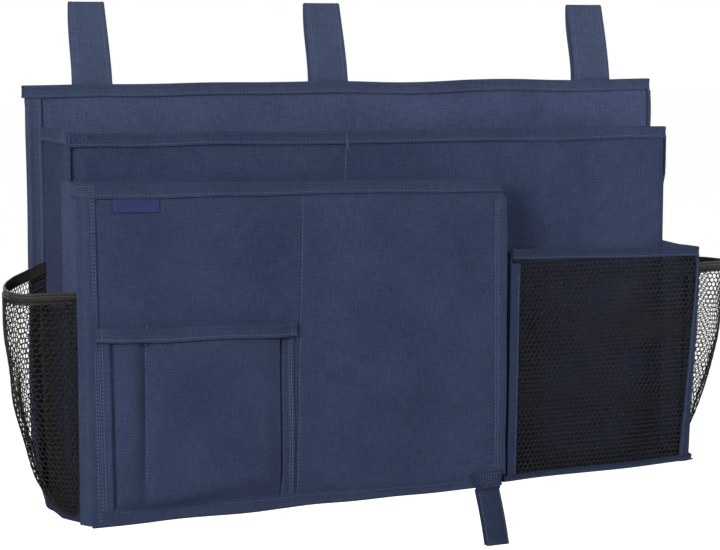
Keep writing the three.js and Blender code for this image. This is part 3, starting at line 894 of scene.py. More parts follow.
class NodeDesk:
    """Adds and links the nodes of one material or world."""

    def __init__(self, owner: Material | bpy.types.World) -> None:
        """Opens the owner's nodes.

        Args:
            owner: The material or world.
        """
        owner.use_nodes = True
        self.owner = owner
        self.tree = owner.node_tree

    @property
    def shader(self) -> bpy.types.Node:
        """Returns a material's Principled shader."""
        return self.tree.nodes["Principled BSDF"]

    def fill(self, node: bpy.types.Node, values: dict[str | int, object]) -> bpy.types.Node:
        """Gives a node's inputs their values.

        Args:
            node: The node.
            values: A number, a colour or a socket to link, for each input's name or place.

        Returns:
            The same node.
        """
        for key, value in values.items():
            if isinstance(value, Socket):
                self.tree.links.new(value, node.inputs[key])
            else:
                node.inputs[key].default_value = value
        return node

    def add(
        self, kind: str, values: dict[str | int, object] | None = None, **settings: object
    ) -> bpy.types.Node:
        """Adds a node, sets its properties and gives its inputs their values.

        Args:
            kind: The node's type.
            values: What its inputs get.
            **settings: Its properties.

        Returns:
            The node.
        """
        node = self.tree.nodes.new(kind)
        for key, value in settings.items():
            setattr(node, key, value)
        return self.fill(node, values or {})

    def math(self, operation: str, *values: object) -> Socket:
        """Returns what a Math node works out from numbers or sockets."""
        return self.add("ShaderNodeMath", dict(enumerate(values)), operation=operation).outputs[0]

    def cloth(self) -> Socket:
        """Returns the cloth coordinates, in millimetres."""
        return self.add("ShaderNodeUVMap", uv_map="cloth").outputs["UV"]

    def scaled(self, source: Socket, x: float, y: float) -> Socket:
        """Returns coordinates stretched along each direction."""
        values = {0: source, 1: (x, y, 1.0)}
        return self.add("ShaderNodeVectorMath", values, operation="MULTIPLY").outputs["Vector"]

    def grain(self, source: Socket, detail: float = 2.0, scale: float = 1.0) -> Socket:
        """Returns fine noise of about 0 to 1 over the given coordinates."""
        values = {"Scale": scale, "Detail": detail, "Vector": source}
        return self.add("ShaderNodeTexNoise", values).outputs["Fac"]

    def weave(self, cloth: Socket, pitch: float, wander: Socket) -> Socket:
        """Returns -1 to 1 over threads that cross, each pitch wide, and that wander a little.

        Args:
            cloth: The cloth coordinates.
            pitch: A thread's width.
            wander: How far threads wander.

        Returns:
            The pattern.
        """
        dense = self.scaled(cloth, math.pi / pitch, math.pi / pitch)
        split = self.add("ShaderNodeSeparateXYZ", {0: dense}).outputs
        waves = [self.math("SINE", self.math("ADD", split[k], wander)) for k in (0, 1)]
        return self.math("MULTIPLY", *waves)

    def total(self, base: float, *parts: tuple[Socket, float]) -> Socket:
        """Returns base and each part times its weight, added up.

        Args:
            base: The number to start from.
            *parts: Sockets, each with its weight.

        Returns:
            The sum.
        """
        result: object = base
        for source, weight in parts:
            result = self.math("ADD", self.math("MULTIPLY", source, weight), result)
        return result

    def blend(self, share: Socket, low: Triple, high: Triple) -> Socket:
        """Returns a colour that goes from low to high with share."""
        values = {"Factor": share, "A": (*low, 1.0), "B": (*high, 1.0)}
        return self.add("ShaderNodeMix", values, data_type="RGBA").outputs["Result"]

    def shaded(self, colour: Socket, factor: Socket) -> Socket:
        """Returns a colour made lighter or darker by a factor."""
        values = {0: colour, "Scale": factor}
        return self.add("ShaderNodeVectorMath", values, operation="SCALE").outputs["Vector"]

    def bump(self, height: Socket, strength: float, distance: float) -> None:
        """Gives the shader a bump from a height."""
        node = self.add("ShaderNodeBump", {"Strength": strength, "Distance": distance, "Height": height})
        self.fill(self.shader, {"Normal": node.outputs["Normal"]})


@dataclass(frozen=True)
class WovenFinish:
    """A woven cloth whose dye lies lighter on the threads that come to its face."""

    name: str
    dye: Triple
    light: Triple
    thread: float = 1.12
    depth: float = 0.42
    slubs: float = 0.26
    patches: float = 0.12
    roughness: float = 0.9
    bump: float = 0.5
    relief: float = 0.0003
    wander: float = 3.4
    slub_scales: Pair = (0.9, 0.07)
    fleck_scale: float = 0.62
    patch_scale: float = 0.016

    def material(self) -> Material:
        """Builds the cloth's material.

        Returns:
            The material.
        """
        desk = NodeDesk(bpy.data.materials.new(self.name))
        cloth = desk.cloth()
        wander = desk.math("MULTIPLY", desk.grain(desk.scaled(cloth, 0.2, 0.2)), self.wander)
        dots = desk.weave(cloth, self.thread, wander)
        along, level = (
            desk.grain(desk.scaled(cloth, *pair)) for pair in (self.slub_scales, self.slub_scales[::-1])
        )
        slub = desk.math("SUBTRACT", desk.math("ADD", along, level), 1.0)
        fleck, patch = (
            desk.math("SUBTRACT", desk.grain(desk.scaled(cloth, scale, scale), 3.0), 0.5)
            for scale in (self.fleck_scale, self.patch_scale)
        )
        factor = desk.total(
            1.0, (slub, self.slubs * 2.4), (fleck, self.slubs * 3.6), (dots, self.depth),
            (patch, self.patches * 2.0),
        )
        colour = desk.blend(desk.total(0.5, (patch, 2.2)), self.dye, self.light)
        values = {"Roughness": self.roughness, "Sheen Weight": 0.02, "Sheen Roughness": 0.5}
        values |= {"Base Color": desk.shaded(colour, factor), "Specular IOR Level": 0.03}
        desk.fill(desk.shader, values)
        desk.bump(desk.total(0.5, (dots, 0.5), (slub, 1.5)), self.bump, self.relief)
        return desk.owner


@dataclass(frozen=True)
class TapeFinish(WovenFinish):
    """The finer weave of tapes and bindings."""

    thread: float = 0.95
    slubs: float = 0.22


@dataclass(frozen=True)
class CordedFinish:
    """A finish with fine lines along the cloth, such as satin, net thread or elastic."""

    name: str
    dye: Triple
    light: Triple
    line: float = 0.4
    lines_across: bool = False
    depth: float = 0.25
    roughness: float = 0.5
    shine: float = 0.2
    bump: float = 0.3
    relief: float = 0.0002

    def material(self) -> Material:
        """Builds the material.

        Returns:
            The material.
        """
        desk = NodeDesk(bpy.data.materials.new(self.name))
        cloth = desk.cloth()
        split = desk.add("ShaderNodeSeparateXYZ", {0: cloth}).outputs
        run = split[0] if self.lines_across else split[1]
        height = desk.math("ABSOLUTE", desk.math("SINE", desk.math("MULTIPLY", run, math.pi / self.line)))
        grain = desk.grain(desk.scaled(cloth, 0.6, 0.6), 3.0)
        low = desk.math("MULTIPLY", desk.math("SUBTRACT", height, 0.6), self.depth)
        uneven = desk.math("MULTIPLY", desk.math("SUBTRACT", grain, 0.5), 0.6)
        factor = desk.math("ADD", desk.math("ADD", low, uneven), 1.0)
        colour = desk.blend(grain, self.dye, self.light)
        values = {"Roughness": self.roughness, "Specular IOR Level": self.shine}
        desk.fill(desk.shader, {"Base Color": desk.shaded(colour, factor), **values})
        desk.bump(height, self.bump, self.relief)
        return desk.owner


@dataclass(frozen=True)
class SpeckledFinish:
    """A grained finish with no weave, such as board or hook-and-loop pile."""

    name: str
    dye: Triple
    light: Triple
    grain: float = 900.0
    roughness: float = 0.8
    bump: float = 0.4
    rise: float = 0.0004

    def material(self) -> Material:
        """Builds the material.

        Returns:
            The material.
        """
        desk = NodeDesk(bpy.data.materials.new(self.name))
        speck = desk.grain(desk.add("ShaderNodeTexCoord").outputs["Object"], 4.0, self.grain)
        colour = desk.blend(speck, self.dye, self.light)
        desk.fill(desk.shader, {"Base Color": colour, "Roughness": self.roughness})
        desk.bump(speck, self.bump, self.rise)
        return desk.owner


class Wardrobe:
    """The caddy's finishes: one material for each slot, one for the thread, and darker copies of the
    cloth and tapes that are painted shade.
    """

    def __init__(self) -> None:
        """Builds every material once."""
        navy, navy_light = (0.041, 0.053, 0.106), (0.047, 0.060, 0.116)
        tape, tape_light = (0.0335, 0.046, 0.0855), (0.039, 0.0525, 0.094)
        finishes = {
            Slot.CLOTH: WovenFinish("woven_navy_cloth", navy, navy_light),
            Slot.BINDING: TapeFinish("navy_binding_tape", tape, tape_light, patches=0.1),
            Slot.LINING: WovenFinish(
                "coated_navy_lining", (0.012, 0.017, 0.036), (0.016, 0.021, 0.042), slubs=0.08,
                roughness=0.6,
            ),
            Slot.STRAP: WovenFinish(
                "navy_strap_cloth", (0.0425, 0.056, 0.1025), (0.048, 0.0625, 0.1125), depth=0.34,
                slubs=0.2,
            ),
            Slot.BOARD: SpeckledFinish("stiff_board", (0.2, 0.18, 0.15), (0.3, 0.28, 0.24), grain=300.0),
            Slot.NET: CordedFinish(
                "black_net_thread", (0.0042, 0.0041, 0.0046), (0.0130, 0.0126, 0.0130)
            ),
            Slot.ELASTIC: CordedFinish(
                "ribbed_black_elastic", (0.012, 0.0105, 0.0085), (0.030, 0.026, 0.021), line=1.1,
                lines_across=True, depth=0.5, bump=0.6,
            ),
            Slot.LABEL: CordedFinish(
                "indigo_satin", (0.017, 0.021, 0.079), (0.022, 0.027, 0.097), line=0.35, roughness=0.45
            ),
            Slot.PILE: SpeckledFinish(
                "hook_and_loop_pile", (0.007, 0.008, 0.012), (0.02, 0.022, 0.03), bump=1.0
            ),
        }
        self.slots = {slot: finish.material() for slot, finish in finishes.items()}
        self.thread = CordedFinish(
            "navy_thread", (0.070, 0.084, 0.150), (0.110, 0.128, 0.205), line=0.3, roughness=0.6
        ).material()
        # A darker copy of the navy cloth, painted shade: the front walls, side panels and pleat bands get
        # it for the shade they lie in.
        wall, wall_light = (0.0255, 0.0355, 0.073), (0.0305, 0.0415, 0.082)
        self.wall = WovenFinish("navy_wall_cloth_painted_shade", wall, wall_light).material()
        # A darker copy of the binding tape, painted shade, for the hems, strips and bindings on the
        # shaded walls.
        self.shaded_trim = TapeFinish(
            "hem_tape_painted_shade", (0.0255, 0.036, 0.071), (0.030, 0.0415, 0.079)
        ).material()
        # The darkest tape, painted shade: for the base's foot tapes, which face down, and the bottom
        # strap's rear ply behind the front one.
        self.foot_shade_tape = TapeFinish(
            "foot_tape_painted_shade", (0.0155, 0.0195, 0.048), (0.019, 0.0235, 0.055)
        ).material()
        # A darker tape, painted shade: for the mesh pocket's frame, the bottom strap's root patch and its
        # front ply, which lie in shade.
        self.deep_shade_tape = TapeFinish(
            "binding_tape_deep_painted_shade", (0.0190, 0.0270, 0.0545), (0.0225, 0.0315, 0.0610)
        ).material()
        # The small pocket's coarser weave, in the darker wall dye: the weave is real, the darker tone is
        # painted shade.
        self.coarse_shaded = WovenFinish(
            "coarse_navy_cloth_painted_shade", wall, wall_light, thread=1.3, depth=0.62, slubs=0.2
        ).material()


class Workshop:
    """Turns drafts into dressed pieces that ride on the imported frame."""

    def __init__(self, bench: Bench, wardrobe: Wardrobe) -> None:
        """Keeps what every piece needs."""
        self.bench = bench
        self.wardrobe = wardrobe

    def make(
        self, name: str, draft: Draft, slot: Slot, body: Body, stands_for: Sequence[str] = (),
        material: Material | None = None,
    ) -> Piece:
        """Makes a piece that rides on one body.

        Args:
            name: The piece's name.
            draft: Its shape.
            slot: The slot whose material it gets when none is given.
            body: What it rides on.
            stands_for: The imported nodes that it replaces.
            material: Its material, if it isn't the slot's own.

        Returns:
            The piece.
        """
        piece = self._dressed(name, draft, slot, stands_for, material)
        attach(piece, body.value)
        log.info("%s rides on %s, %d faces", name, body.value, len(piece.data.polygons))
        return piece

    def bridge(
        self, name: str, draft: Draft, slot: Slot, start: Vector, end: Vector,
        stands_for: Sequence[str] = (), net: "NetWeave | None" = None,
    ) -> Piece:
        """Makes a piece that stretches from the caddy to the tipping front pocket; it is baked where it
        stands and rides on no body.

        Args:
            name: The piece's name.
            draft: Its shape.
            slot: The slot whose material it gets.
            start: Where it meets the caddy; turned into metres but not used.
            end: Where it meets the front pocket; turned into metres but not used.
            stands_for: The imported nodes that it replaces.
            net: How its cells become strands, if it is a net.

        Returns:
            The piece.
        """
        piece = self._dressed(name, draft, slot, stands_for, None)
        if net is not None:
            net.knit(piece)
        first, last = self.bench.metres(start), self.bench.metres(end)
        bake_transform(piece)
        log.info("%s bends from the caddy to the front pocket", name)
        return piece

    def sew(self, name: str, rows: Iterable[Draft], slot: Slot, body: Body) -> Piece:
        """Makes one piece of all the stitches on a sub-assembly."""
        return self.make(name, joined(rows), slot, body, material=self.wardrobe.thread)

    def _dressed(
        self, name: str, draft: Draft, slot: Slot, stands_for: Sequence[str], material: Material | None
    ) -> Piece:
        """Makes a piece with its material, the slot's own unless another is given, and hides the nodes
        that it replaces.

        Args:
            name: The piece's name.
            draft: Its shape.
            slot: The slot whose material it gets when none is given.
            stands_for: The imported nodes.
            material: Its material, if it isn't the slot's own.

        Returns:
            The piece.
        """
        piece = draft.to_object(name, self.bench)
        piece.data.materials.append(material or self.wardrobe.slots[slot])
        if stands_for:
            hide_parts(*stands_for)
        return piece

    def declare(self, piece: Piece, flat: Pair, held: Held, on: Sequence[str]) -> None:
        """Takes a piece, its cut size in metres, how it is held and what it rests on, and does nothing
        with them.
        """


@dataclass(frozen=True)
class NetWeave:
    """A knitted net of six-sided cells."""

    pitch: float
    row: float
    strand: float

    def draft(self, surface: Surface, width: float, height: float, shift: float = 0.0) -> Draft:
        """Lays the cells on a surface.

        Args:
            surface: Gives the point for a place on the net.
            width: The net's width.
            height: The net's height.
            shift: How far the pattern is moved across and up.

        Returns:
            A draft with one face for each cell.
        """
        draft = Draft()
        known: dict[tuple[int, int], int] = {}
        tall = self.row / 1.5

        def corner(u: float, v: float) -> int:
            """Returns the index of a cell's corner, made once.

            Args:
                u: Its place across the net.
                v: Its place up the net.

            Returns:
                The corner's index.
            """
            u, v = min(max(u, 0.0), width), min(max(v, 0.0), height)
            key = (round(u * 20), round(v * 20))
            if key not in known:
                known[key] = draft.add_point(surface(u, v))
            return known[key]

        for line in range(-1, int(height / self.row) + 2):
            for column in range(-1, int(width / self.pitch) + 2):
                u = (column + 0.5 * (line % 2)) * self.pitch + shift
                v = line * self.row + shift
                half = self.pitch / 2
                rim = ((0, tall), (-half, tall / 2), (-half, -tall / 2))
                rim += ((0, -tall), (half, -tall / 2), (half, tall / 2))
                cell = [corner(u + du, v + dv) for du, dv in rim]
                distinct = list(dict.fromkeys(cell))
                if len(distinct) > 2:
                    places = [(float(index), float(line)) for index in distinct]
                    draft.add_face(distinct, places)
        return draft

    def knit(self, piece: Piece) -> None:
        """Turns the piece's cells into a net of strands.

        Args:
            piece: The piece, with one face for each cell.
        """
        strands = piece.modifiers.new("strands", "WIREFRAME")
        strands.thickness = self.strand * MM
        strands.use_boundary = True
        strands.use_even_offset = False
        graph = bpy.context.evaluated_depsgraph_get()
        knitted = bpy.data.meshes.new_from_object(piece.evaluated_get(graph))
        piece.modifiers.clear()
        piece.data = knitted
        knitted.shade_smooth()


def arc(centre: Vector, radius: float, start: float, end: float, steps: int) -> Line:
    """Lays points on a level arc.

    Args:
        centre: Its centre.
        radius: Its radius.
        start: The first angle from +X, in degrees.
        end: The last one.
        steps: How many steps it has.

    Returns:
        Points, each with the direction that leaves the arc's centre.
    """
    found = []
    for step in range(steps + 1):
        angle = math.radians(mixed(start, end, step / steps))
        out = vec(math.cos(angle), math.sin(angle), 0.0)
        found.append((centre + out * radius, out))
    return found


@dataclass
class Assembly:
    """A sub-assembly of the caddy, which makes and sews its own pieces."""

    rides_on: ClassVar[Body] = Body.CADDY
    shop: Workshop
    stitch_rows: list[Draft] = field(default_factory=list, init=False)
    thread: Thread = field(default=Thread(), init=False)

    @property
    def wear(self) -> Wardrobe:
        """Returns the finishes."""
        return self.shop.wardrobe

    def box(self, node: str) -> Box:
        """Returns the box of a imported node."""
        return self.shop.bench.box(node)

    def make(
        self, name: str, draft: Draft, node: str, slot: Slot = Slot.BINDING,
        material: Material | None = None, body: Body | None = None,
    ) -> Piece:
        """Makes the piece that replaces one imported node, by default on the sub-assembly's body."""
        return self.shop.make(name, draft, slot, body or self.rides_on, [node], material)

    def sheet(
        self, name: str, panel: Panel, node: str, slot: Slot, held: Held, on: str,
        material: Material | None = None,
    ) -> None:
        self.shop.declare(self.make(name, panel.draft(), node, slot, material), panel.size(), held, [on])

    def hem_piece(self, name: str, run: HemRun, node: str, material: Material | None = None) -> Route:
        """Makes a hem and stitches it.

        Args:
            name: The piece's name.
            run: The hem.
            node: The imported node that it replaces.
            material: Its material, if it isn't the binding slot's own.

        Returns:
            Its line of stitches.
        """
        self.make(name, run.draft(), node, material=material)
        route = run.stitches()
        self.sew(route)
        return route

    def sew(self, route: Route, thread: Thread | None = None) -> None:
        """Adds a row of stitches along a line."""
        self.stitch_rows.append((thread or self.thread).row(route))

    def sew_front(self, points: list[Vector], thread: Thread | None = None) -> None:
        """Adds a row of stitches on a face that looks to the front."""
        self.sew(Route(points, [FRONT] * len(points)), thread)

    def show_board(self, node: str) -> None:
        """Gives a packed board that stays the board's finish.

        Args:
            node: The board's node.
        """
        materials = bpy.data.objects[node].data.materials
        materials.clear()
        materials.append(self.wear.slots[Slot.BOARD])

    def finish_sewing(self, name: str) -> None:
        """Makes one piece of all the rows of stitches."""
        self.shop.sew(name, self.stitch_rows, Slot.BINDING, self.rides_on)


@dataclass
class BackPanel(Assembly):
    """The stiff panel that lies against the bed, bound along its top and sides."""

    foot_margin: float = 0.5
    seam_x: float = -1.2
    lap: float = 1.3
    stiff_to: float = 220.0
    curl: float = 11.0
    curl_height: float = 60.0

    def __post_init__(self) -> None:
        """Reads the panel's size from the frame."""
        self.face = self.box("back_front_cloth")
        self.rear = self.box("back_rear_cloth")
        self.bound = self.box("top_binding")
        self.side = self.box("left_side_binding")
        self.base = self.box("base_cloth")
        self.foot = -self.base.x0 + self.foot_margin

    def edge(self, sign: float, z: float) -> float:
        """Returns how far the panel's edge lies from the middle: it curls in at the left foot.

        Args:
            sign: -1 for the left edge, 1 for the right one.
            z: The height on the panel.

        Returns:
            The distance.
        """
        if sign < 0.0:
            curl = self.curl * max(0.0, 1.0 - z / self.curl_height) ** 1.5
            return self.face.x1 - self.lap - curl + 1.4 * eased((z - 330.0) / 16.0)
        return mixed(self.foot + 4.0, self.face.x1 + 2.0, z / self.face.z1) + 4.0 * bell(z - 305.0, 45.0)

    def follow(self, point: Vector) -> Vector:
        """Moves the outer parts of the cloth with the panel's bent edges.

        Args:
            point: A point of the panel with straight edges.

        Returns:
            The moved point.
        """
        sign = math.copysign(1.0, point.x)
        straight = mixed(self.foot, self.face.x1, point.z / self.face.z1)
        share = eased((abs(point.x) - self.stiff_to) / (straight - self.stiff_to))
        shift = (self.edge(sign, point.z) - self.lap - straight) * share
        return point + RIGHT * (sign * shift)

    def build(self) -> None:
        """Makes the panel's pieces."""
        self._front()
        self._rear()
        self._bindings()
        for node in ("back_board_left", "back_board_right"):
            self.show_board(node)
        self.finish_sewing("back_panel_stitching")

    def _front(self) -> None:
        """Makes the front cloth, with its fold seam and the folds at its top right."""
        top, high = self.face.x1, self.face.z1
        seam = self.seam_x
        folds = (
            Crease((seam, 0.0), (seam, high), 1.5, 2.2),
            Crease((seam - 14.0, 300.0), (seam - 40.0, 322.0), 1.5, 14.0),
            Crease((seam + 14.0, 296.0), (seam + 22.0, 335.0), 0.8, 10.0),
            Crease((273.0, 338.0), (288.0, 314.0), -3.4, 3.4),
            Crease((292.0, 332.0), (295.0, 306.0), -2.6, 4.0),
            Crease((240.0, 332.0), (252.0, 304.0), -3.0, 8.0),
            Crease((205.0, 330.0), (214.0, 308.0), -1.4, 8.0),
        )
        panel = Panel(
            (
                vec(-self.foot, 0.0, 0.0), vec(self.foot, 0.0, 0.0), vec(top, 0.0, high),
                vec(-top, 0.0, high),
            ),
            Slack(wave=1.3, period=70.0, seed=1.3, loft=1.3, hem=9.0, creases=folds), seams=(seam,),
            bend=self.follow,
        )
        self.sheet(
            "back_panel_front_fabric", panel, "back_front_cloth", Slot.CLOTH, Held.HUNG,
            "top_binding_tape",
        )

    def _rear(self) -> None:
        """Makes the rear cloth, which shows the rows that hold the loops and the fold seam."""
        y, high, top = self.rear.y1, self.rear.z1, self.rear.x1
        seam = Crease((-self.seam_x, 0.0), (-self.seam_x, high), 0.8, 2.0)
        panel = Panel(
            (vec(self.foot, y, 0.0), vec(-self.foot, y, 0.0), vec(-top, y, high), vec(top, y, high)),
            Slack(wave=0.5, seed=4.1, creases=(seam,)), step=9.0, seams=(-self.seam_x,), bend=self.follow,
        )
        self.sheet(
            "back_panel_rear_fabric", panel, "back_rear_cloth", Slot.LINING, Held.HUNG, "top_binding_tape"
        )
        for x in (self.seam_x - 2.5, self.seam_x + 2.5):
            self.sew(panel.seam((x, 4.0), (x, high - 12.0)))

    def _bindings(self) -> None:
        """Makes the top binding and both side bindings."""
        wall = self.rear.y1 - self.face.y0
        shape = HemShape(self.bound.tall, wall)
        start = vec(self.bound.x0 + 1.9, 0.0, self.bound.z1)
        end = vec(self.bound.x1 - 0.4, 0.0, self.bound.z1)
        run = HemRun.straight(shape, start, end, FRONT, waver=0.9, seed=2.6)
        self.hem_piece("top_binding_tape", run, "top_binding")
        for name, sign, width in (("left", -1.0, 12.2), ("right", 1.0, 4.0)):
            path = []
            for z in spaced(0.0, self.side.z1, 8.0):
                waver = 0.5 * ripple(z, 0.0, 70.0, 5.0 + sign)
                path.append(vec(sign * (self.edge(sign, z) + waver), 0.0, z))
            ups = [RIGHT * sign] * len(path)
            run = HemRun(HemShape(width, wall), path, [FRONT] * len(path), ups)
            node = f"{name}_side_binding"
            self.hem_piece(f"{node}_tape", run, node)


@dataclass
class MainCompartment(Assembly):
    """The two sides, the stiff front wall and the base behind all pockets."""

    corner: float = 5.0
    lip: float = 3.2
    seam_x: float = -39.5
    fall: float = 5.0

    def __post_init__(self) -> None:
        """Reads the compartment's size from the frame."""
        self.face = self.box("main_front_cloth")
        self.lining = self.box("main_front_lining")
        self.hem = self.box("main_front_hem")
        self.base = self.box("base_cloth")
        self.board = self.box("base_board")

    def build(self) -> None:
        """Makes the compartment's pieces."""
        self._front()
        self._sides()
        self._base()
        self.show_board("main_front_board")
        self.finish_sewing("main_compartment_stitching")

    def hem_top(self, x: float) -> float:
        """Returns the front hem's height, which falls from 311 on the left to 306."""
        share = (x - self.hem.x0) / self.hem.wide
        return self.hem.z1 - self.fall * share

    def _front(self) -> None:
        """Makes the front wall's cloth, lining and hem."""
        x0, x1, z0, seam = self.face.x0, self.face.x1, self.face.z0, self.seam_x
        y = self.face.y0
        left_top, right_top = self.hem_top(x0) - TUCK, self.hem_top(x1) - TUCK
        folds = (
            Crease((seam, 262.0), (seam + 2.0, 306.0), 1.5, 1.5),
            Crease((seam, 120.0), (seam, 262.0), 1.1, 1.5),
            Crease((-274.5, 301.0), (-272.0, 240.0), -2.0, 4.0),
            Crease((222.0, 300.0), (232.0, 222.0), -1.7, 11.0),
            Crease((203.0, 298.0), (206.0, 248.0), 1.1, 9.0),
            Crease((258.0, 298.0), (254.0, 215.0), 1.3, 12.0),
            Crease((280.5, 298.0), (283.5, 206.0), -1.5, 4.0),
            Crease((274.0, 296.0), (276.0, 208.0), 0.7, 3.5),
            Crease((92.0, 297.0), (150.0, 262.0), 1.0, 16.0),
            Crease((98.0, 250.0), (96.0, 190.0), -6.0, 38.0),
            Crease((296.0, 280.0), (296.0, 200.0), -5.5, 50.0),
        )
        panel = Panel(
            upright((x0, y), (x1, y), z0, left_top, right_top),
            Slack(wave=1.9, period=85.0, seed=8.4, loft=1.8, hem=9.0, creases=folds),
            seams=(-276.0, seam, 281.0),
        )
        # The wall's cloth is the darker navy copy, painted shade.
        self.sheet(
            "main_wall_fabric", panel, "main_front_cloth", Slot.CLOTH, Held.STRETCHED,
            "main_wall_hem_tape", self.wear.wall,
        )
        self.sew(panel.seam((seam, 200.0), (seam + 1.5, 297.0)))
        inner = Panel(
            upright((x1, self.lining.y1), (x0, self.lining.y1), z0, right_top, left_top),
            Slack(wave=0.5, seed=9.9), thickness=self.lining.deep, step=12.0,
        )
        self.sheet(
            "main_wall_lining", inner, "main_front_lining", Slot.LINING, Held.STRETCHED,
            "main_wall_hem_tape",
        )
        shape = HemShape(self.hem.tall - self.fall, self.lining.y1 - y)
        start = vec(self.hem.x0 - 1.2, y, self.hem_top(x0))
        end = vec(self.hem.x1 + 1.2, y, self.hem_top(x1))
        run = HemRun.straight(shape, start, end, FRONT, waver=0.9, seed=3.7)
        run.path = [
            point + FRONT * (1.7 * (1.0 - eased((point.x - start.x) / 20.0))) for point in run.path
        ]
        self.hem_piece("main_wall_hem_tape", run, "main_front_hem", self.wear.shaded_trim)
        for x in (-277.0, -274.6, -272.2):
            column = [vec(x, y - 1.95, self.hem_top(x) - drop) for drop in (1.6, 5.0, 9.6)]
            self.sew_front(column, Thread.DENSE)
        spot = vec(-38.4, y - 1.8, self.hem_top(-38.4))
        self.stitch_rows.append(self.thread.tail(spot + DOWN * 2.0, vec(2.4, 0.0, -11.0), FRONT))
        self.stitch_rows.append(self.thread.tail(spot + DOWN * 10.0, vec(3.5, 0.0, -7.5), FRONT))

    def _sides(self) -> None:
        """Makes both side panels, which turn the front corner, and their hems."""
        for name, sign, low, high in (("left", -1.0, 0.0, 0.0), ("right", 1.0, -10.0, -4.0)):
            box = self.box(f"{name}_side_panel")
            hem = self.box(f"{name}_side_hem")
            outer = box.x0 if sign < 0 else box.x1
            centre = vec(outer - sign * self.corner, box.y0 + self.corner - 0.5, 0.0)
            first = 90.0 - 90.0 * sign
            turn = arc(centre, self.corner, first, first - sign * (71.0 - 11.0 * sign), 5)
            straight = [(vec(outer, y, 0.0), RIGHT * sign) for y in spaced(box.y1, centre.y, 7.0)]
            line = straight + turn[1:]
            self._wall_along(f"{name}_side_panel", line, box, sign)
            path = []
            inward = 0.0
            if sign > 0:
                line, inward = line[:-2], 1.3
            for index, (point, _) in enumerate(line):
                rise = mixed(low, high, index / (len(line) - 1)) + 0.4 * ripple(point.y, sign, 30.0, 12.0)
                lip = 0.2 * self.lip * eased((index - len(line) + 6) / 4.0)
                path.append(point + UP * (hem.z1 + rise) + FRONT * lip + LEFT * inward)
            shape = HemShape(hem.tall, 1.0)
            run = HemRun(shape, path, [out for _, out in line], [UP] * len(path))
            self.hem_piece(f"{name}_side_hem_tape", run, f"{name}_side_hem")

    def _wall_along(self, node: str, line: Line, box: Box, sign: float) -> None:
        """Makes a side panel that stands along a level line.

        Args:
            node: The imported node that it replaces.
            line: The line's points, each with its outward direction.
            box: The node's box, for its height.
            sign: -1 for the left panel and 1 for the right one.
        """
        runs = [0.0]
        for (a, _), (b, _) in zip(line, line[1:]):
            runs.append(runs[-1] + (b - a).length)
        route = Route([point for point, _ in line], [out for _, out in line])
        tall = box.tall + min(0.0, -9.0 * sign)

        def surface(u: float, v: float) -> Vector:
            """Returns the panel's outer face.

            Args:
                u: The run along the line.
                v: The height on the panel.

            Returns:
                The point.
            """
            point, out = route.at(u)
            loose = eased(min(u, runs[-1] - u) / 18.0)
            lip = self.lip * eased((u - runs[-1] + 8.0) / 5.0) * eased((v - 250.0) / 14.0)
            push = out * (0.45 * loose * ripple(u, v, 60.0, 11.0 + sign)) + FRONT * lip
            return point + UP * (box.z0 + v) + push

        draft = cloth_sheet(surface, sorted(set(runs)), seam_lines(tall, 9.0), -sign)
        # The side panel's cloth is the darker navy copy, painted shade.
        piece = self.make(f"{node}_fabric", draft, node, Slot.CLOTH, self.wear.wall)
        self.shop.declare(piece, (runs[-1] * MM, tall * MM), Held.STRETCHED, ["back_panel_front_fabric"])

    def _base(self) -> None:
        """Makes the base cloth, the covered base board and both side bindings."""
        flare = self.box("mesh_pocket_bottom_binding").x1
        left, right = self.base.x0, -self.base.x0
        rear, front = self.base.y1, self.base.y0
        knee = self.face.y0

        def plate(level: float, inset: float, facing: float) -> Draft:
            """Returns a level sheet with the base's outline.

            Args:
                level: Its height.
                inset: How far its edge lies inside the base's.
                facing: How thick it is.

            Returns:
                The sheet.
            """
            depth = rear - front - 2.0 * inset
            width = right - left

            def surface(u: float, v: float) -> Vector:
                """Returns the sheet's face at a share of its width and depth.

                Args:
                    u: The place across.
                    v: The place from the rear.

                Returns:
                    The point.
                """
                y = rear - inset - v
                reach = max(0.0, (knee - y) / (knee - front))
                side = mixed(right, flare, reach) - inset
                x = mixed(left + inset, side, u / width)
                return vec(x, y, level + 0.3 * facing * ripple(x, y, 70.0, 2.0))

            return cloth_sheet(surface, seam_lines(width, 14.0), seam_lines(depth, 9.0), facing)

        piece = self.make("base_fabric", plate(0.0, 0.0, 1.0), "base_cloth", Slot.CLOTH)
        size = ((right - left) * MM, (rear - front) * MM)
        self.shop.declare(piece, size, Held.LAID, ["base_board_cover"])
        top = self.board.z1
        board = plate(top, self.board.x0 - left, top - self.board.z0)
        self.make("base_board_cover", board, "base_board", Slot.LINING)
        self._base_bindings()

    def _base_bindings(self) -> None:
        """Makes the tapes along the left and right foot, with their turned ends."""
        ring = turns(14)
        left = self.box("base_left_binding")
        line = [(vec(left.x1, y, 0.0), LEFT) for y in spaced(4.0, -88.0, 6.0)]
        right = self.box("base_right_binding")
        other = [(vec(right.x0, y, 0.0), RIGHT) for y in spaced(1.5, right.y0, 6.0)]
        middles = ((-86.0, 2.2), (-40.0, -2.8), (5.0, -0.6))
        for name, places in (("left", line), ("right", other)):
            path, halves = [], []
            for point, _ in places:
                middle = between(middles, point.y)
                path.append(point + UP * (middle + 0.4 * ripple(point.y, 0.0, 30.0, 15.0)))
                halves.append(between(((-92.0, 3.4), (-40.0, 4.2), (5.0, 4.0)), point.y))

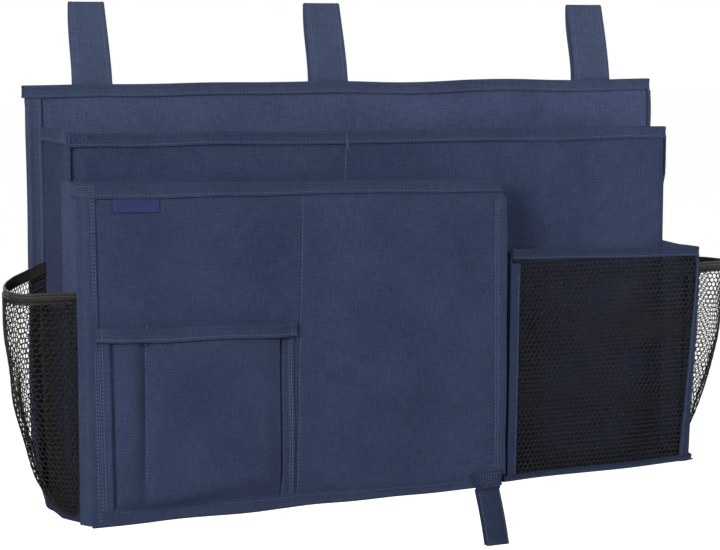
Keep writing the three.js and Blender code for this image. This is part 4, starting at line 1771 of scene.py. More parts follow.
            def outline(index: int, halves: list[float] = halves) -> Outline:
                """Returns the tape's section: a folded pipe with a knob at its rear end.

                Args:
                    index: Which section.
                    halves: Half the tape's height at each section.

                Returns:
                    The outline.
                """
                knob = (0.72, 1.3, 1.28, 1.05)
                factor = knob[index] if index < len(knob) else 1.0
                pinch = 1.0 + 0.12 * math.sin(index * 2.1)
                return [
                    (factor * pinch * 1.9 * math.cos(t) - 0.2, factor * halves[index] * math.sin(t))
                    for t in ring
                ]

            draft = swept(path, [out for _, out in places], [UP] * len(path), outline)
            node = f"base_{name}_binding"
            # The foot tape gets the darkest tape, painted shade where it faces down.
            self.make(f"base_{name}_tape", draft, node, material=self.wear.foot_shade_tape)


@dataclass
class Pocket(Assembly):
    """A sub-assembly with a hem that falls to the right."""

    hem: Box = field(init=False)
    hem_height: float = field(init=False)

    def hem_top(self, x: float) -> float:
        """Returns the hem's height at a place across."""
        fall = self.hem.tall - self.hem_height
        return self.hem.z1 - fall * (x - self.hem.x0) / self.hem.wide


def spaced(start: float, end: float, step: float) -> list[float]:
    """Returns even places from start to end, about step apart."""
    count = max(1, round(abs(end - start) / step))
    return [mixed(start, end, index / count) for index in range(count + 1)]


@dataclass
class FrontPocket(Pocket):
    """The stiff front pocket, which tips forward, with its gusset, bellows and label."""

    rides_on: ClassVar[Body] = Body.FRONT_POCKET
    hem_height: float = field(default=10.5, init=False)
    corner: float = 10.0
    flange_radius: float = 8.0
    pleats: int = 2
    centre_seam: Pairs = ((-98.2, 262.0), (-100.2, 171.0), (-104.2, 8.0))

    def __post_init__(self) -> None:
        """Reads the pocket's size from the frame."""
        self.face = self.box("front_pocket_cloth")
        self.lining = self.box("front_pocket_lining")
        self.hem = self.box("front_pocket_hem")
        self.foot = self.box("front_pocket_bottom_binding")
        self.gusset = self.box("front_pocket_left_gusset")
        self.strip = self.box("front_pocket_left_strip")
        self.flange = self.box("front_pocket_right_flange")
        self.bellows = self.box("front_pocket_bellows")
        self.side_x = self.gusset.x0

    def wall_y(self, x: float, z: float) -> float:
        """Returns where the wall's slack cloth lies at a place."""
        return self.panel.point(*self.panel.place(x, z)).y

    def build(self) -> None:
        """Makes the pocket's pieces."""
        self._wall()
        self._hem()
        self._gusset()
        self._corner_strip()
        self._flange()
        self._bellows()
        self._foot_binding()
        self._label()
        self.show_board("front_pocket_board")
        self.finish_sewing("front_pocket_stitching")

    def _wall(self) -> None:
        """Makes the wall's cloth, with its sewn middle and the soft right half, and its lining."""
        x0, x1, y, z0 = self.face.x0, self.face.x1, self.face.y0, self.face.z0
        tops = self.hem_top(x0) - TUCK, self.hem_top(x1) - TUCK
        (ax, az), (bx, bz), (cx, cz) = self.centre_seam
        folds = (
            Crease((ax, az), (bx, bz), 0.9, 1.5), Crease((bx, bz), (cx, cz), 0.9, 1.5),
            Crease((-12.0, 165.0), (-8.0, 95.0), -3.0, 58.0),
            Crease((50.0, 46.0), (84.0, 16.0), 1.6, 20.0), Crease((76.0, 250.0), (77.5, 16.0), -1.0, 4.2),
            Crease((-273.0, 255.0), (-270.0, 16.0), -0.7, 4.0),
            Crease((-92.0, 30.0), (60.0, 18.0), 1.0, 12.0),
            Crease((-190.0, 176.0), (-240.0, 230.0), 0.7, 26.0),
        )
        panel = Panel(
            upright((x0, y), (x1, y), z0, *tops),
            Slack(wave=1.5, period=100.0, seed=14.2, loft=1.4, hem=9.0, creases=folds),
            seams=(-98.2, -100.6, -103.0), levels=(10.0,),
        )
        self.panel = panel
        # The pocket's cloth is the darker navy copy, painted shade.
        self.sheet(
            "front_pocket_fabric", panel, "front_pocket_cloth", Slot.CLOTH, Held.STRETCHED,
            "front_pocket_hem_tape", self.wear.wall,
        )
        for start, end in zip(self.centre_seam, self.centre_seam[1:]):
            self.sew(panel.seam(start, end))
        inner = Panel(
            upright((x1, self.lining.y1), (x0, self.lining.y1), z0, *reversed(tops)),
            Slack(wave=0.4, seed=17.0), thickness=self.lining.deep, step=12.0,
        )
        self.sheet(
            "front_pocket_inner_fabric", inner, "front_pocket_lining", Slot.LINING, Held.STRETCHED,
            "front_pocket_hem_tape",
        )

    def _corner_line(self, grow: float, rear: float, right: float, step: float) -> Line:
        """Lays a level line round the pocket's left front corner.

        Args:
            grow: How far outside the cloth it runs.
            rear: Where it starts on the side.
            right: Where it ends on the front.
            step: The distance between points on the front.

        Returns:
            Its points, each with the outward direction.
        """
        y = self.face.y0
        centre = vec(self.side_x + self.corner, y + self.corner, 0.0)
        side = [(vec(self.side_x - grow, b, 0.0), LEFT) for b in spaced(rear, centre.y, 6.0)]
        turn = arc(centre, self.corner + grow, 180.0, 270.0, 8)
        front = [(vec(a, y - grow, 0.0), FRONT) for a in spaced(centre.x, right, step)]
        return side + turn[1:] + front[1:]

    def _hem(self) -> None:
        """Makes the hem, which turns the corner and ends on the pocket's left side."""
        side_end = -75.0
        line = self._corner_line(0.0, side_end, self.hem.x1, 9.0)
        wall = self.lining.y1 - self.face.y0
        path, walls, heights = [], [], []
        for point, _ in line:
            on_front = eased((point.x - self.side_x) / (self.corner * 1.2))
            waver = 0.7 * on_front * ripple(point.x, 0.0, 80.0, 21.0)
            path.append(point + UP * (self.hem_top(max(point.x, self.side_x)) + waver))
            walls.append(mixed(1.0, wall, on_front))
            taper = eased((point.x - self.side_x) / 240.0)
            heights.append(mixed(self.hem_height + 2.6, self.hem_height, taper))
        shape = HemShape(self.hem_height, wall)
        run = HemRun(shape, path, [out for _, out in line], [UP] * len(line), walls, heights)
        route = self.hem_piece("front_pocket_hem_tape", run, "front_pocket_hem", self.wear.shaded_trim)
        folded = [i for i, (point, _) in enumerate(line) if point.x < self.side_x + 12.0]
        for lift in (-1.4, 1.7, 3.5, 5.3, 7.1):
            points = [route.points[i] + UP * lift + route.normals[i] * 0.2 for i in folded]
            self.sew(Route(points, [route.normals[i] for i in folded]), Thread.DENSE)

    def _gusset(self) -> None:
        """Makes the left gusset, which joins the compartment's side to the corner strip."""
        rear, front = self.gusset.y1, self.strip.y1 - 1.6
        lap, outside = rear + 6.0, self.side_x - 0.5
        panel = Panel(
            upright((outside, lap), (self.side_x, front), self.gusset.z0, self.gusset.z1, self.gusset.z1),
            Slack(wave=0.5, period=60.0, seed=31.0, margin=12.0), sideways=True, step=6.0,
        )
        start = vec(self.side_x, rear, 0.0)
        end = vec(self.side_x, front, 0.0)
        piece = self.shop.bridge(
            "front_pocket_gusset_fabric", panel.draft(), Slot.CLOTH, start, end,
            ["front_pocket_left_gusset"],
        )
        self.shop.declare(piece, panel.size(), Held.STRETCHED, ["front_pocket_fabric"])

    def _corner_strip(self) -> None:
        """Makes the bound strip round the left corner: two soft ridges and a groove between."""
        low, high = self.strip.z0 - 2.0, self.strip.z1
        line = self._corner_line(0.4, self.strip.y1 - 0.2, -275.0, 2.0)
        route = Route([point for point, _ in line], [out for _, out in line])
        total = route.length()
        skirt = 1.6
        ridges = ((1.6, 0.8, 1.2), (9.4, 1.7, 3.3), (15.6, 0.25, 1.5))

        def edge_at(v: float) -> float:
            """Returns how wide the raised strip is at a height: wider at the foot."""
            return mixed(21.0, 17.4, v / (high - low))

        def surface(u: float, v: float) -> Vector:
            """Returns the strip's face: u is a share of its width and v its height.

            Args:
                u: The share of its width.
                v: The height on it.

            Returns:
                The point.
            """
            raised = edge_at(v)
            run = u * (raised + skirt)
            point, out = route.at(run)
            swell = sum(rise * bell(run - at * raised / 17.4, wide) for at, rise, wide in ridges)
            step = 0.9 * (1.0 - eased((run - raised) / 0.7))
            loose = 0.3 * ripple(run, v, 45.0, 41.0) * eased(run / 3.0)
            return point + UP * (low + v) + out * (0.1 + step + (swell + loose) * step / 0.9)

        us = sorted([index / 22.0 for index in range(23)] + [0.893, 0.93, 0.945, 0.975])
        draft = cloth_sheet(surface, us, seam_lines(high - low, 9.0), 0.8)
        scale_cloth(draft, total)
        self.make("front_pocket_corner_tape", draft, "front_pocket_left_strip", material=self.wear.shaded_trim)
        for inset in (1.5, 3.3):
            points, normals = [], []
            for v in spaced(2.0, high - low - 1.0, 6.0):
                point, out = route.at(edge_at(v) - inset)
                points.append(point + UP * (low + v) + out * 1.25)
                normals.append(out)
            self.sew(Route(points, normals))

    def _flange(self) -> None:
        """Makes the folded flange at the right, rounded at its top."""
        box = self.flange
        radius = self.flange_radius
        thick = box.deep

        def surface(u: float, v: float) -> Vector:
            """Returns the flange's front face: u is a share of its width and v its height.

            Args:
                u: The share of its width.
                v: The height on it.

            Returns:
                The point.
            """
            share = v / box.tall
            over = max(0.0, v - (box.tall - radius))
            drawn_in = radius - math.sqrt(max(0.0, radius * radius - over * over))
            right = box.x1 - drawn_in + 0.8 * ripple(v, 0.0, 70.0, 51.0)
            x = mixed(box.x0 - mixed(0.8, 2.7, share), right - 1.2 * share, u)
            swell = 0.5 + 1.3 * math.sin(math.pi * u) + 0.4 * ripple(x, v, 40.0, 52.0) - 0.9 * bell(
                u - 0.3, 0.1
            )
            foot = eased(share * 12.0)
            return vec(x, box.y0 - 0.2 - swell * foot, box.z0 + v)

        us = [index / 14.0 for index in range(15)]
        vs = seam_lines(box.tall, 7.0, [box.tall - 2.0, box.tall - 5.0])
        draft = cloth_sheet(surface, us, vs, thick)
        scale_cloth(draft, box.wide)
        self.make("front_pocket_flange_tape", draft, "front_pocket_right_flange", material=self.wear.shaded_trim)
        for share in (0.08, 0.3):
            points = [surface(share, v) + FRONT * THREAD_LIFT for v in spaced(4.0, box.tall - 7.0, 6.0)]
            self.sew_front(points)

    def _bellows(self) -> None:
        """Makes the pleated gusset at the right, from the compartment to the flange."""
        box = self.bellows
        rear, front = box.y1 + 0.6, box.y0 - 0.6
        reach = box.wide - 1.2

        def surface(u: float, v: float) -> Vector:
            """Returns the bellows' face: u is a share of the way to the front.

            Args:
                u: The share of the way to the front.
                v: The height on it.

            Returns:
                The point.
            """
            wave = 0.5 - 0.5 * math.cos(2.0 * math.pi * self.pleats * u)
            soft = 0.5 * ripple(u * 40.0, v, 50.0, 61.0)
            return vec(box.x0 + 0.8 + reach * wave + soft, mixed(front, rear, u), box.z0 + v)

        us = [index / 28.0 for index in range(29)]
        draft = cloth_sheet(surface, us, seam_lines(box.tall, 10.0), 0.8)
        scale_cloth(draft, 48.0)
        start = vec(box.x0, rear, 0.0)
        end = vec(box.x0, front, 0.0)
        piece = self.shop.bridge(
            "front_pocket_bellows_fabric", draft, Slot.CLOTH, start, end, ["front_pocket_bellows"]
        )
        line = [surface(u, 0.0) for u in us]
        width = sum((after - point).length for point, after in zip(line, line[1:]))
        size = (width * MM, box.tall * MM)
        self.shop.declare(piece, size, Held.FOLDED, ["front_pocket_fabric"])

    def _foot_binding(self) -> None:
        """Makes the binding along the pocket's foot, taller at its left end."""
        box = self.foot
        y = self.face.y0
        left = self.side_x + self.corner
        path, heights = [], []
        for x in spaced(left - 4.0, box.x1 + 1.0, 9.0):
            share = (x - left) / (box.x1 - left)
            waver = 0.5 * ripple(x, 0.0, 60.0, 71.0)
            path.append(vec(x, y - 0.1, box.z0 + waver))
            heights.append(mixed(14.5, 9.0, eased(share)))
        shape = HemShape(9.5, 1.6, leaf=0.9)
        run = HemRun(shape, path, [FRONT] * len(path), [DOWN] * len(path), None, heights)
        self.hem_piece("front_pocket_foot_tape", run, "front_pocket_bottom_binding", self.wear.shaded_trim)

    def _label(self) -> None:
        """Makes the bare satin label, whose foot stands a little off the cloth."""
        box = self.box("blank_label")
        width = box.wide
        tall = box.tall - abs(self.hem_top(box.x0) - self.hem_top(box.x1))

        def surface(u: float, v: float) -> Vector:
            """Returns the label's face.

            Args:
                u: The place across.
                v: The place up.

            Returns:
                The point.
            """
            x = box.x0 + u
            top = self.hem_top(x) - self.hem_height + 0.4
            curl = 0.9 * (1.0 - v / tall) ** 2 + 0.2 * math.sin(math.pi * u / width)
            y = min(box.y0, self.wall_y(x, top - tall + v) - 0.4)
            return vec(x, y - 0.15 - curl, top - tall + v)

        draft = cloth_sheet(surface, spaced(0.0, width, 2.0), spaced(0.0, tall, 1.6), 0.6)
        self.make("bare_satin_label", draft, "blank_label", Slot.LABEL)
        fold = [surface(0.9, v) + FRONT * 0.1 for v in spaced(0.8, tall - 0.8, 2.0)]
        self.sew_front(fold, Thread(pitch=1.6, length=1.5, width=0.5))


def scale_cloth(draft: Draft, width: float) -> None:
    """Turns cloth coordinates whose first one is a share into millimetres."""
    draft.cloth = [tuple((u * width, v) for u, v in face) for face in draft.cloth]


@dataclass
class SmallPocket(Pocket):
    """The small pocket on the front pocket, with a pleat at each side and a sewn divider."""

    rides_on: ClassVar[Body] = Body.FRONT_POCKET
    thread: Thread = field(default=Thread(pitch=2.9), init=False)
    hem_height: float = field(default=11.5, init=False)
    front: FrontPocket
    divider_x: float = -240.0
    band: float = 13.6
    roll: float = 1.6
    tuck_under: float = 3.0
    lift: float = 0.7
    lean: float = 2.0

    def __post_init__(self) -> None:
        """Reads the pocket's size from the frame."""
        self.face = self.box("small_pocket_cloth")
        self.hem = self.box("small_pocket_hem")

    def build(self) -> None:
        """Makes the pocket's pieces."""
        self._face()
        self._bands()
        self._hem()
        self.finish_sewing("small_pocket_stitching")

    def _out(self, x: float, z: float, left: float, right: float) -> float:
        """Returns how far the pocket's face stands off the front pocket's wall.

        Args:
            x: The bench x.
            z: The bench z.
            left: Where the face starts.
            right: Where it ends.

        Returns:
            The distance.
        """
        deep = self.front.face.y0 - self.face.y0
        rolled_up = self.lift + 2.0 * self.roll
        rise = eased((min(x - left, right - x) - self.roll) / 14.0)
        share = min(max((x - self.divider_x) / (right - self.divider_x), 0.0), 1.0)
        swell = 1.6 * math.sin(math.pi * share) + 1.9 * ripple(x, z, 75.0, 81.0)
        swell += 4.6 * bell(math.hypot((x - right + 54.0) * 0.75, z - 38.0), 36.0)
        swell *= eased((self.hem_top(x) - self.hem_height - z + 4.0) / 26.0)
        sewn = 1.0 - 0.6 * bell(x - self.divider_x, 5.0) * eased((z - 8.0) / 20.0)
        return (mixed(rolled_up, deep, rise) + swell * rise) * sewn

    def _face(self) -> None:
        """Makes the pocket's face, in the coarser cloth with its darker painted shade, rolled under at
        both sides.
        """
        left, right = self.face.x0 + self.band, self.face.x1 - self.band
        low = self.face.z0 + 1.0
        rolled_length = math.pi * self.roll
        width = 2.0 * rolled_length + right - left - 2.0 * self.roll

        def surface(u: float, v: float) -> Vector:
            """Returns the face: v is a share of its height.

            Args:
                u: The place across the cloth.
                v: The share of its height.

            Returns:
                The point.
            """
            run = min(u, width - u)
            lean = self.lean * (1.0 - v) if u < width / 2 else 0.0
            if run < rolled_length:
                turn = run / self.roll
                inset = self.roll * (1.0 - math.sin(turn))
                out = self.lift + self.roll * (1.0 - math.cos(turn))
            else:
                inset = self.roll + run - rolled_length
                out = 0.0
            x = left + inset + lean * bell(inset, 30.0) if u < width / 2 else right - inset
            z = mixed(low, self.hem_top(x) - TUCK, v)
            out = out or self._out(x, z, left, right)
            tucked = mixed(11.0, 24.0, eased((x - left - 50.0) / 60.0))
            foot = eased((z - low) / tucked) ** 0.8
            base = self.front.wall_y(x, z) - 0.3
            return vec(x, min(base - 0.4, base - out * mixed(0.15, 1.0, foot)), z)

        seam_u = self.divider_x - left - self.roll + rolled_length
        fine = [rolled_length * index / 7.0 for index in range(8)]
        middle = [rolled_length + place for place in seam_lines(
            width - 2.0 * rolled_length, 5.0, [seam_u - rolled_length]
        )]
        us = fine[:-1] + middle + [width - place for place in reversed(fine[:-1])]
        vs = [0.0, 0.012, 0.03, 0.05, 0.075] + [0.1 + 0.9 * index / 26.0 for index in range(27)]
        draft = cloth_sheet(surface, us, vs, 0.9)
        tall = self.face.z1 - low
        draft.cloth = [tuple((u, v * tall) for u, v in face) for face in draft.cloth]
        piece = self.make(
            "small_pocket_fabric", draft, "small_pocket_cloth", Slot.CLOTH, self.wear.coarse_shaded
        )
        self.shop.declare(piece, (width * MM, tall * MM), Held.STRETCHED, ["front_pocket_fabric"])
        self.sew_front([surface(seam_u, share) + FRONT * 0.15 for share in spaced(0.14, 0.9, 0.03)])
        top = vec(self.divider_x, self.face.y0 - 2.0, self.hem_top(self.divider_x))
        self.stitch_rows.append(self.thread.tail(top + UP * 2.5, vec(2.0, 0.0, -10.0), FRONT))
        self.stitch_rows.append(self.thread.tail(top + DOWN * 5.0, vec(-1.2, 0.0, -9.0), FRONT))

    def _bands(self) -> None:
        """Makes the pleats: a band sewn flat at each side, folded under the pocket's face."""
        for name, edge, turn in (("left", self.face.x0, 1.0), ("right", self.face.x1, -1.0)):
            node = f"small_pocket_{name}_pleat"
            top = self.hem_top(edge) - 3.0
            low = self.face.z0 + 1.0
            lean = self.lean if turn > 0 else 0.0

            def surface(u: float, v: float) -> Vector:
                """Returns the band's face, from left to right.

                Args:
                    u: The place across the band.
                    v: The height on it.

                Returns:
                    The point.
                """
                reach = self.band + self.tuck_under
                run = u if turn > 0 else reach - u
                shift = lean * (1.0 - v / (top - low))
                flat = 1.0 - eased((run - self.band + 2.2) / 1.4)
                lip = 0.8 * bell(run - self.band + 4.0, 1.8) + 0.35 * bell(run - 1.2, 1.0)
                x = edge + turn * run + shift
                soft = 0.25 * ripple(x, v, 30.0, 91.0)
                return vec(x, self.front.wall_y(x, low + v) - 0.3 - flat * (0.9 + lip + soft), low + v)

            width = self.band + self.tuck_under
            draft = cloth_sheet(surface, spaced(0.0, width, 1.0), seam_lines(top - low, 8.0), 0.5)
            # The band's cloth is the darker navy copy, painted shade.
            self.make(node + "_fabric", draft, node, Slot.CLOTH, self.wear.wall)
            for inset in (2.4, 4.6):
                across = inset if turn > 0 else width - inset
                points = [
                    surface(across, v) + FRONT * THREAD_LIFT for v in spaced(3.0, top - low - 9.0, 6.0)
                ]
                self.sew_front(points)

    def _hem(self) -> None:
        """Makes the hem over the face and both pleats, sewn down at its ends."""
        x0, x1 = self.hem.x0 - 1.5, self.hem.x1 + 1.5
        deep = self.front.face.y0 - self.face.y0
        shape = HemShape(self.hem_height, 1.0)
        path, sides = [], []
        for x in spaced(x0, x1, 5.0):
            drawn_in = eased(min(x - x0, x1 - x) / 20.0)
            wall = self.front.wall_y(x, self.hem.z0)
            y = mixed(wall - 2.2, wall - deep - 0.5, drawn_in) + 0.3 * ripple(x, 0.0, 40.0, 95.0)
            dip = -1.0 * bell(x - self.divider_x, 6.0)
            path.append(vec(x, y - dip * 0.8, self.hem_top(x) + 0.5 * ripple(x, 0.0, 50.0, 96.0)))
            sides.append(FRONT)
        run = HemRun(shape, path, sides, [UP] * len(path))
        route = self.hem_piece("small_pocket_hem_tape", run, "small_pocket_hem", self.wear.shaded_trim)
        for index in (1, len(path) - 2):
            foot = route.points[index]
            points = [foot + UP * rise + FRONT * 0.3 for rise in spaced(-1.5, 8.0, 2.0)]
            self.sew_front(points)


@dataclass
class MeshPocket(Pocket):
    """The net pocket at the right: a bound frame, two layers of net and cloth gussets."""

    hem_height: float = field(default=9.0, init=False)
    net: NetWeave = NetWeave(pitch=4.8, row=4.1, strand=1.1)
    outline: Pairs = (
        (0.0, 292.8), (60.0, 297.6), (112.0, 301.0), (159.0, 303.2), (184.0, 303.4), (192.0, 300.5)
    )
    widths: Pairs = ((9.0, 10.4), (112.0, 8.1), (180.0, 5.2))

    def __post_init__(self) -> None:
        """Reads the pocket's size from the frame."""
        self.hem = self.box("mesh_pocket_hem")
        self.left = self.box("mesh_pocket_left_strip")
        self.right = self.box("mesh_pocket_right_strip")
        self.foot = self.box("mesh_pocket_bottom_binding")
        self.gusset = self.box("mesh_pocket_right_gusset")
        self.inner = self.box("mesh_pocket_left_gusset")
        self.y = self.left.y0

    def build(self) -> None:
        """Makes the pocket's pieces."""
        self._nets()
        self._frame()
        self._gussets()
        self.finish_sewing("mesh_pocket_stitching")

    def right_edge(self, z: float) -> float:
        """Returns where the pocket's right edge lies at a height: it leans in to the foot."""
        return between(self.outline, z)

    def _slack(self, x: float, z: float, seed: float) -> float:
        """Returns how far the net stands out of its frame's plane.

        Args:
            x: The bench x.
            z: The bench z.
            seed: Which folds it has.

        Returns:
            The distance.
        """
        s = (x - self.left.x1) / (self.right.x0 - self.left.x1)
        t = z / self.hem.z0
        crown = math.sin(math.pi * min(max(s, 0.0), 1.0)) * math.sin(math.pi * min(max(t, 0.0), 1.0))
        return crown * (2.5 + 2.0 * ripple(x, z, 90.0, seed) + 1.2 * ripple(x, z, 35.0, seed + 1.0))

    def _nets(self) -> None:
        """Makes both layers of net, which lie a little apart and out of step."""
        x0, low = self.left.x1 - 3.0, 1.5
        layers = ((0.0, 101.0, 1.0), (1.9, 102.0, 1.06))
        drafts = []
        for depth, seed, stretch in layers:
            width, tall = self.right.x0 + 4.0 - x0, self.hem.z0 + 3.0 - low

            def surface(u: float, v: float, depth: float = depth, seed: float = seed) -> Vector:
                """Returns the layer's point at a place on the net.

                Args:
                    u: The place across.
                    v: The place up.
                    depth: How far the layer lies behind the first one.
                    seed: Which folds it has.

                Returns:
                    The point.
                """
                z = low + v
                x = mixed(x0, self.right_edge(z) - 6.0, u / width)
                return vec(x, self.y + 0.5 + depth - self._slack(x, z, seed), z)

            weave = NetWeave(self.net.pitch * stretch, self.net.row / stretch, self.net.strand)
            drafts.append(weave.draft(surface, width, tall, shift=depth * 0.6))
        piece = self.make("mesh_pocket_knit", joined(drafts), "mesh_pocket_net", Slot.NET)
        self.net.knit(piece)

    def _frame(self) -> None:
        """Makes the hem, the strips at both sides and the binding at the foot."""
        shape = HemShape(self.hem_height, 1.0)
        start = vec(self.hem.x0, self.y, self.hem_top(self.hem.x0))
        end = vec(self.hem.x1, self.y, self.hem_top(self.hem.x1))
        run = HemRun.straight(shape, start, end, FRONT, waver=0.6, seed=6.3, step=7.0)
        # The frame's tapes get the darker tape, painted shade.
        shaded_trim = self.wear.deep_shade_tape
        self.hem_piece("mesh_pocket_hem_tape", run, "mesh_pocket_hem", shaded_trim)
        low, high = self.left.z0, self.hem.z0 + 2.0
        for name, box in (("left", self.left), ("right", self.right)):
            width = box.wide

            def surface(u: float, v: float, name: str = name, box: Box = box) -> Vector:
                """Returns the strip's face.

                Args:
                    u: The place across.
                    v: The place up.
                    name: The strip's side.
                    box: Its node's box.

                Returns:
                    The point.
                """
                z = low + v
                share = u / width
                swell = 0.3 + 0.9 * math.sin(math.pi * share) + 0.3 * ripple(u, v, 40.0, 111.0)
                if name == "left":
                    x = box.x0 - mixed(3.8, 1.2, z / high) + u
                    return vec(x, self.y - 0.3 - swell, z)
                reach = between(self.widths, z) * (1.0 - share)
                turned = 2.6 * eased(share) * eased(z / 60.0)
                return vec(self.right_edge(z) - reach, self.y - 0.3 - swell + turned, z)

            draft = cloth_sheet(surface, spaced(0.0, width, 1.5), seam_lines(high - low, 7.0), 1.0)
            node = f"mesh_pocket_{name}_strip"
            self.make(node + "_tape", draft, node, material=shaded_trim)
            inset = 1.6 if name == "right" else width - 1.6
            points = [surface(inset, v) + FRONT * THREAD_LIFT for v in spaced(4.0, high - low - 9.0, 6.0)]
            self.sew_front(points)
        tape = HemShape(self.foot.tall + 0.5, 1.6, leaf=0.9)
        start = vec(self.foot.x0 - 8.0, self.y - 0.3, self.foot.z0 - 2.0)
        end = vec(self.right_edge(0.0) + 3.0, self.y - 0.3, self.foot.z0 + 0.5)
        run = HemRun.straight(tape, start, end, FRONT, DOWN, waver=0.5, seed=8.8, step=7.0)
        self.make("mesh_pocket_foot_tape", run.draft(), "mesh_pocket_bottom_binding", material=shaded_trim)

    def _gussets(self) -> None:
        """Makes the left gusset, the flared right one and the right one's hem."""
        low, high = self.inner.z0, self.inner.z1 - 3.0
        x, rear, front = self.inner.x0, self.inner.y1, self.inner.y0
        panel = Panel(
            upright((x, rear), (x, front), low, high, high),
            Slack(wave=0.6, period=50.0, seed=121.0, margin=10.0), sideways=True,
        )
        self.sheet(
            "mesh_pocket_left_gusset_fabric", panel, "mesh_pocket_left_gusset", Slot.CLOTH,
            Held.STRETCHED, "main_wall_fabric",
        )
        low, high = self.gusset.z0, self.gusset.z1
        rear_x = self.gusset.x0 + 0.9
        rear_y, front_y = self.gusset.y1 + 5.5, self.y + 1.4
        width = math.hypot(self.gusset.x1 - rear_x, rear_y - front_y)

        def surface(u: float, v: float) -> Vector:
            """Returns the right gusset's outer face, from the front to its seam on the side panel.

            Args:
                u: The place from the front.
                v: The height on it.

            Returns:
                The point.
            """
            z = low + v
            share = u / width
            edge = self.right_edge(z) - 1.0
            reach = min(share * 1.16, 1.0)
            belly = 2.2 * math.sin(math.pi * reach) * (1.0 + 0.6 * ripple(u, v, 60.0, 131.0))
            return vec(mixed(edge, rear_x, reach) + belly, mixed(front_y, rear_y, share), z)

        draft = cloth_sheet(surface, spaced(0.0, width, 4.0), seam_lines(high - low, 8.0), 1.0)
        piece = self.make(
            "mesh_pocket_right_gusset_fabric", draft, "mesh_pocket_right_gusset", Slot.CLOTH
        )
        self.shop.declare(piece, (width * MM, (high - low) * MM), Held.STRETCHED, ["main_wall_fabric"])
        hem = self.box("mesh_pocket_gusset_hem")
        shape = HemShape(hem.tall, 1.0)
        out = vec(rear_y - front_y, self.gusset.x1 - rear_x, 0.0).normalized()
        path = []
        for index, share in enumerate(spaced(1.0, 0.0, 0.12)):
            point = surface(share * width, high - low)
            path.append(vec(point.x, point.y, hem.z1 + 2.6 * eased(1.0 - index / 4.0)))
        run = HemRun(shape, path, [out] * len(path), [UP] * len(path))
        self.make("mesh_pocket_gusset_hem_tape", run.draft(), "mesh_pocket_gusset_hem")


@dataclass(frozen=True)
class MouthPlan:
    """How a side pocket's mouth runs, seen from above and from the side.

    Each place gives the distance out from the side panel and the bench y.
    """

    places: Pairs
    front_z: float
    rear_lift: float
    foot_out: float


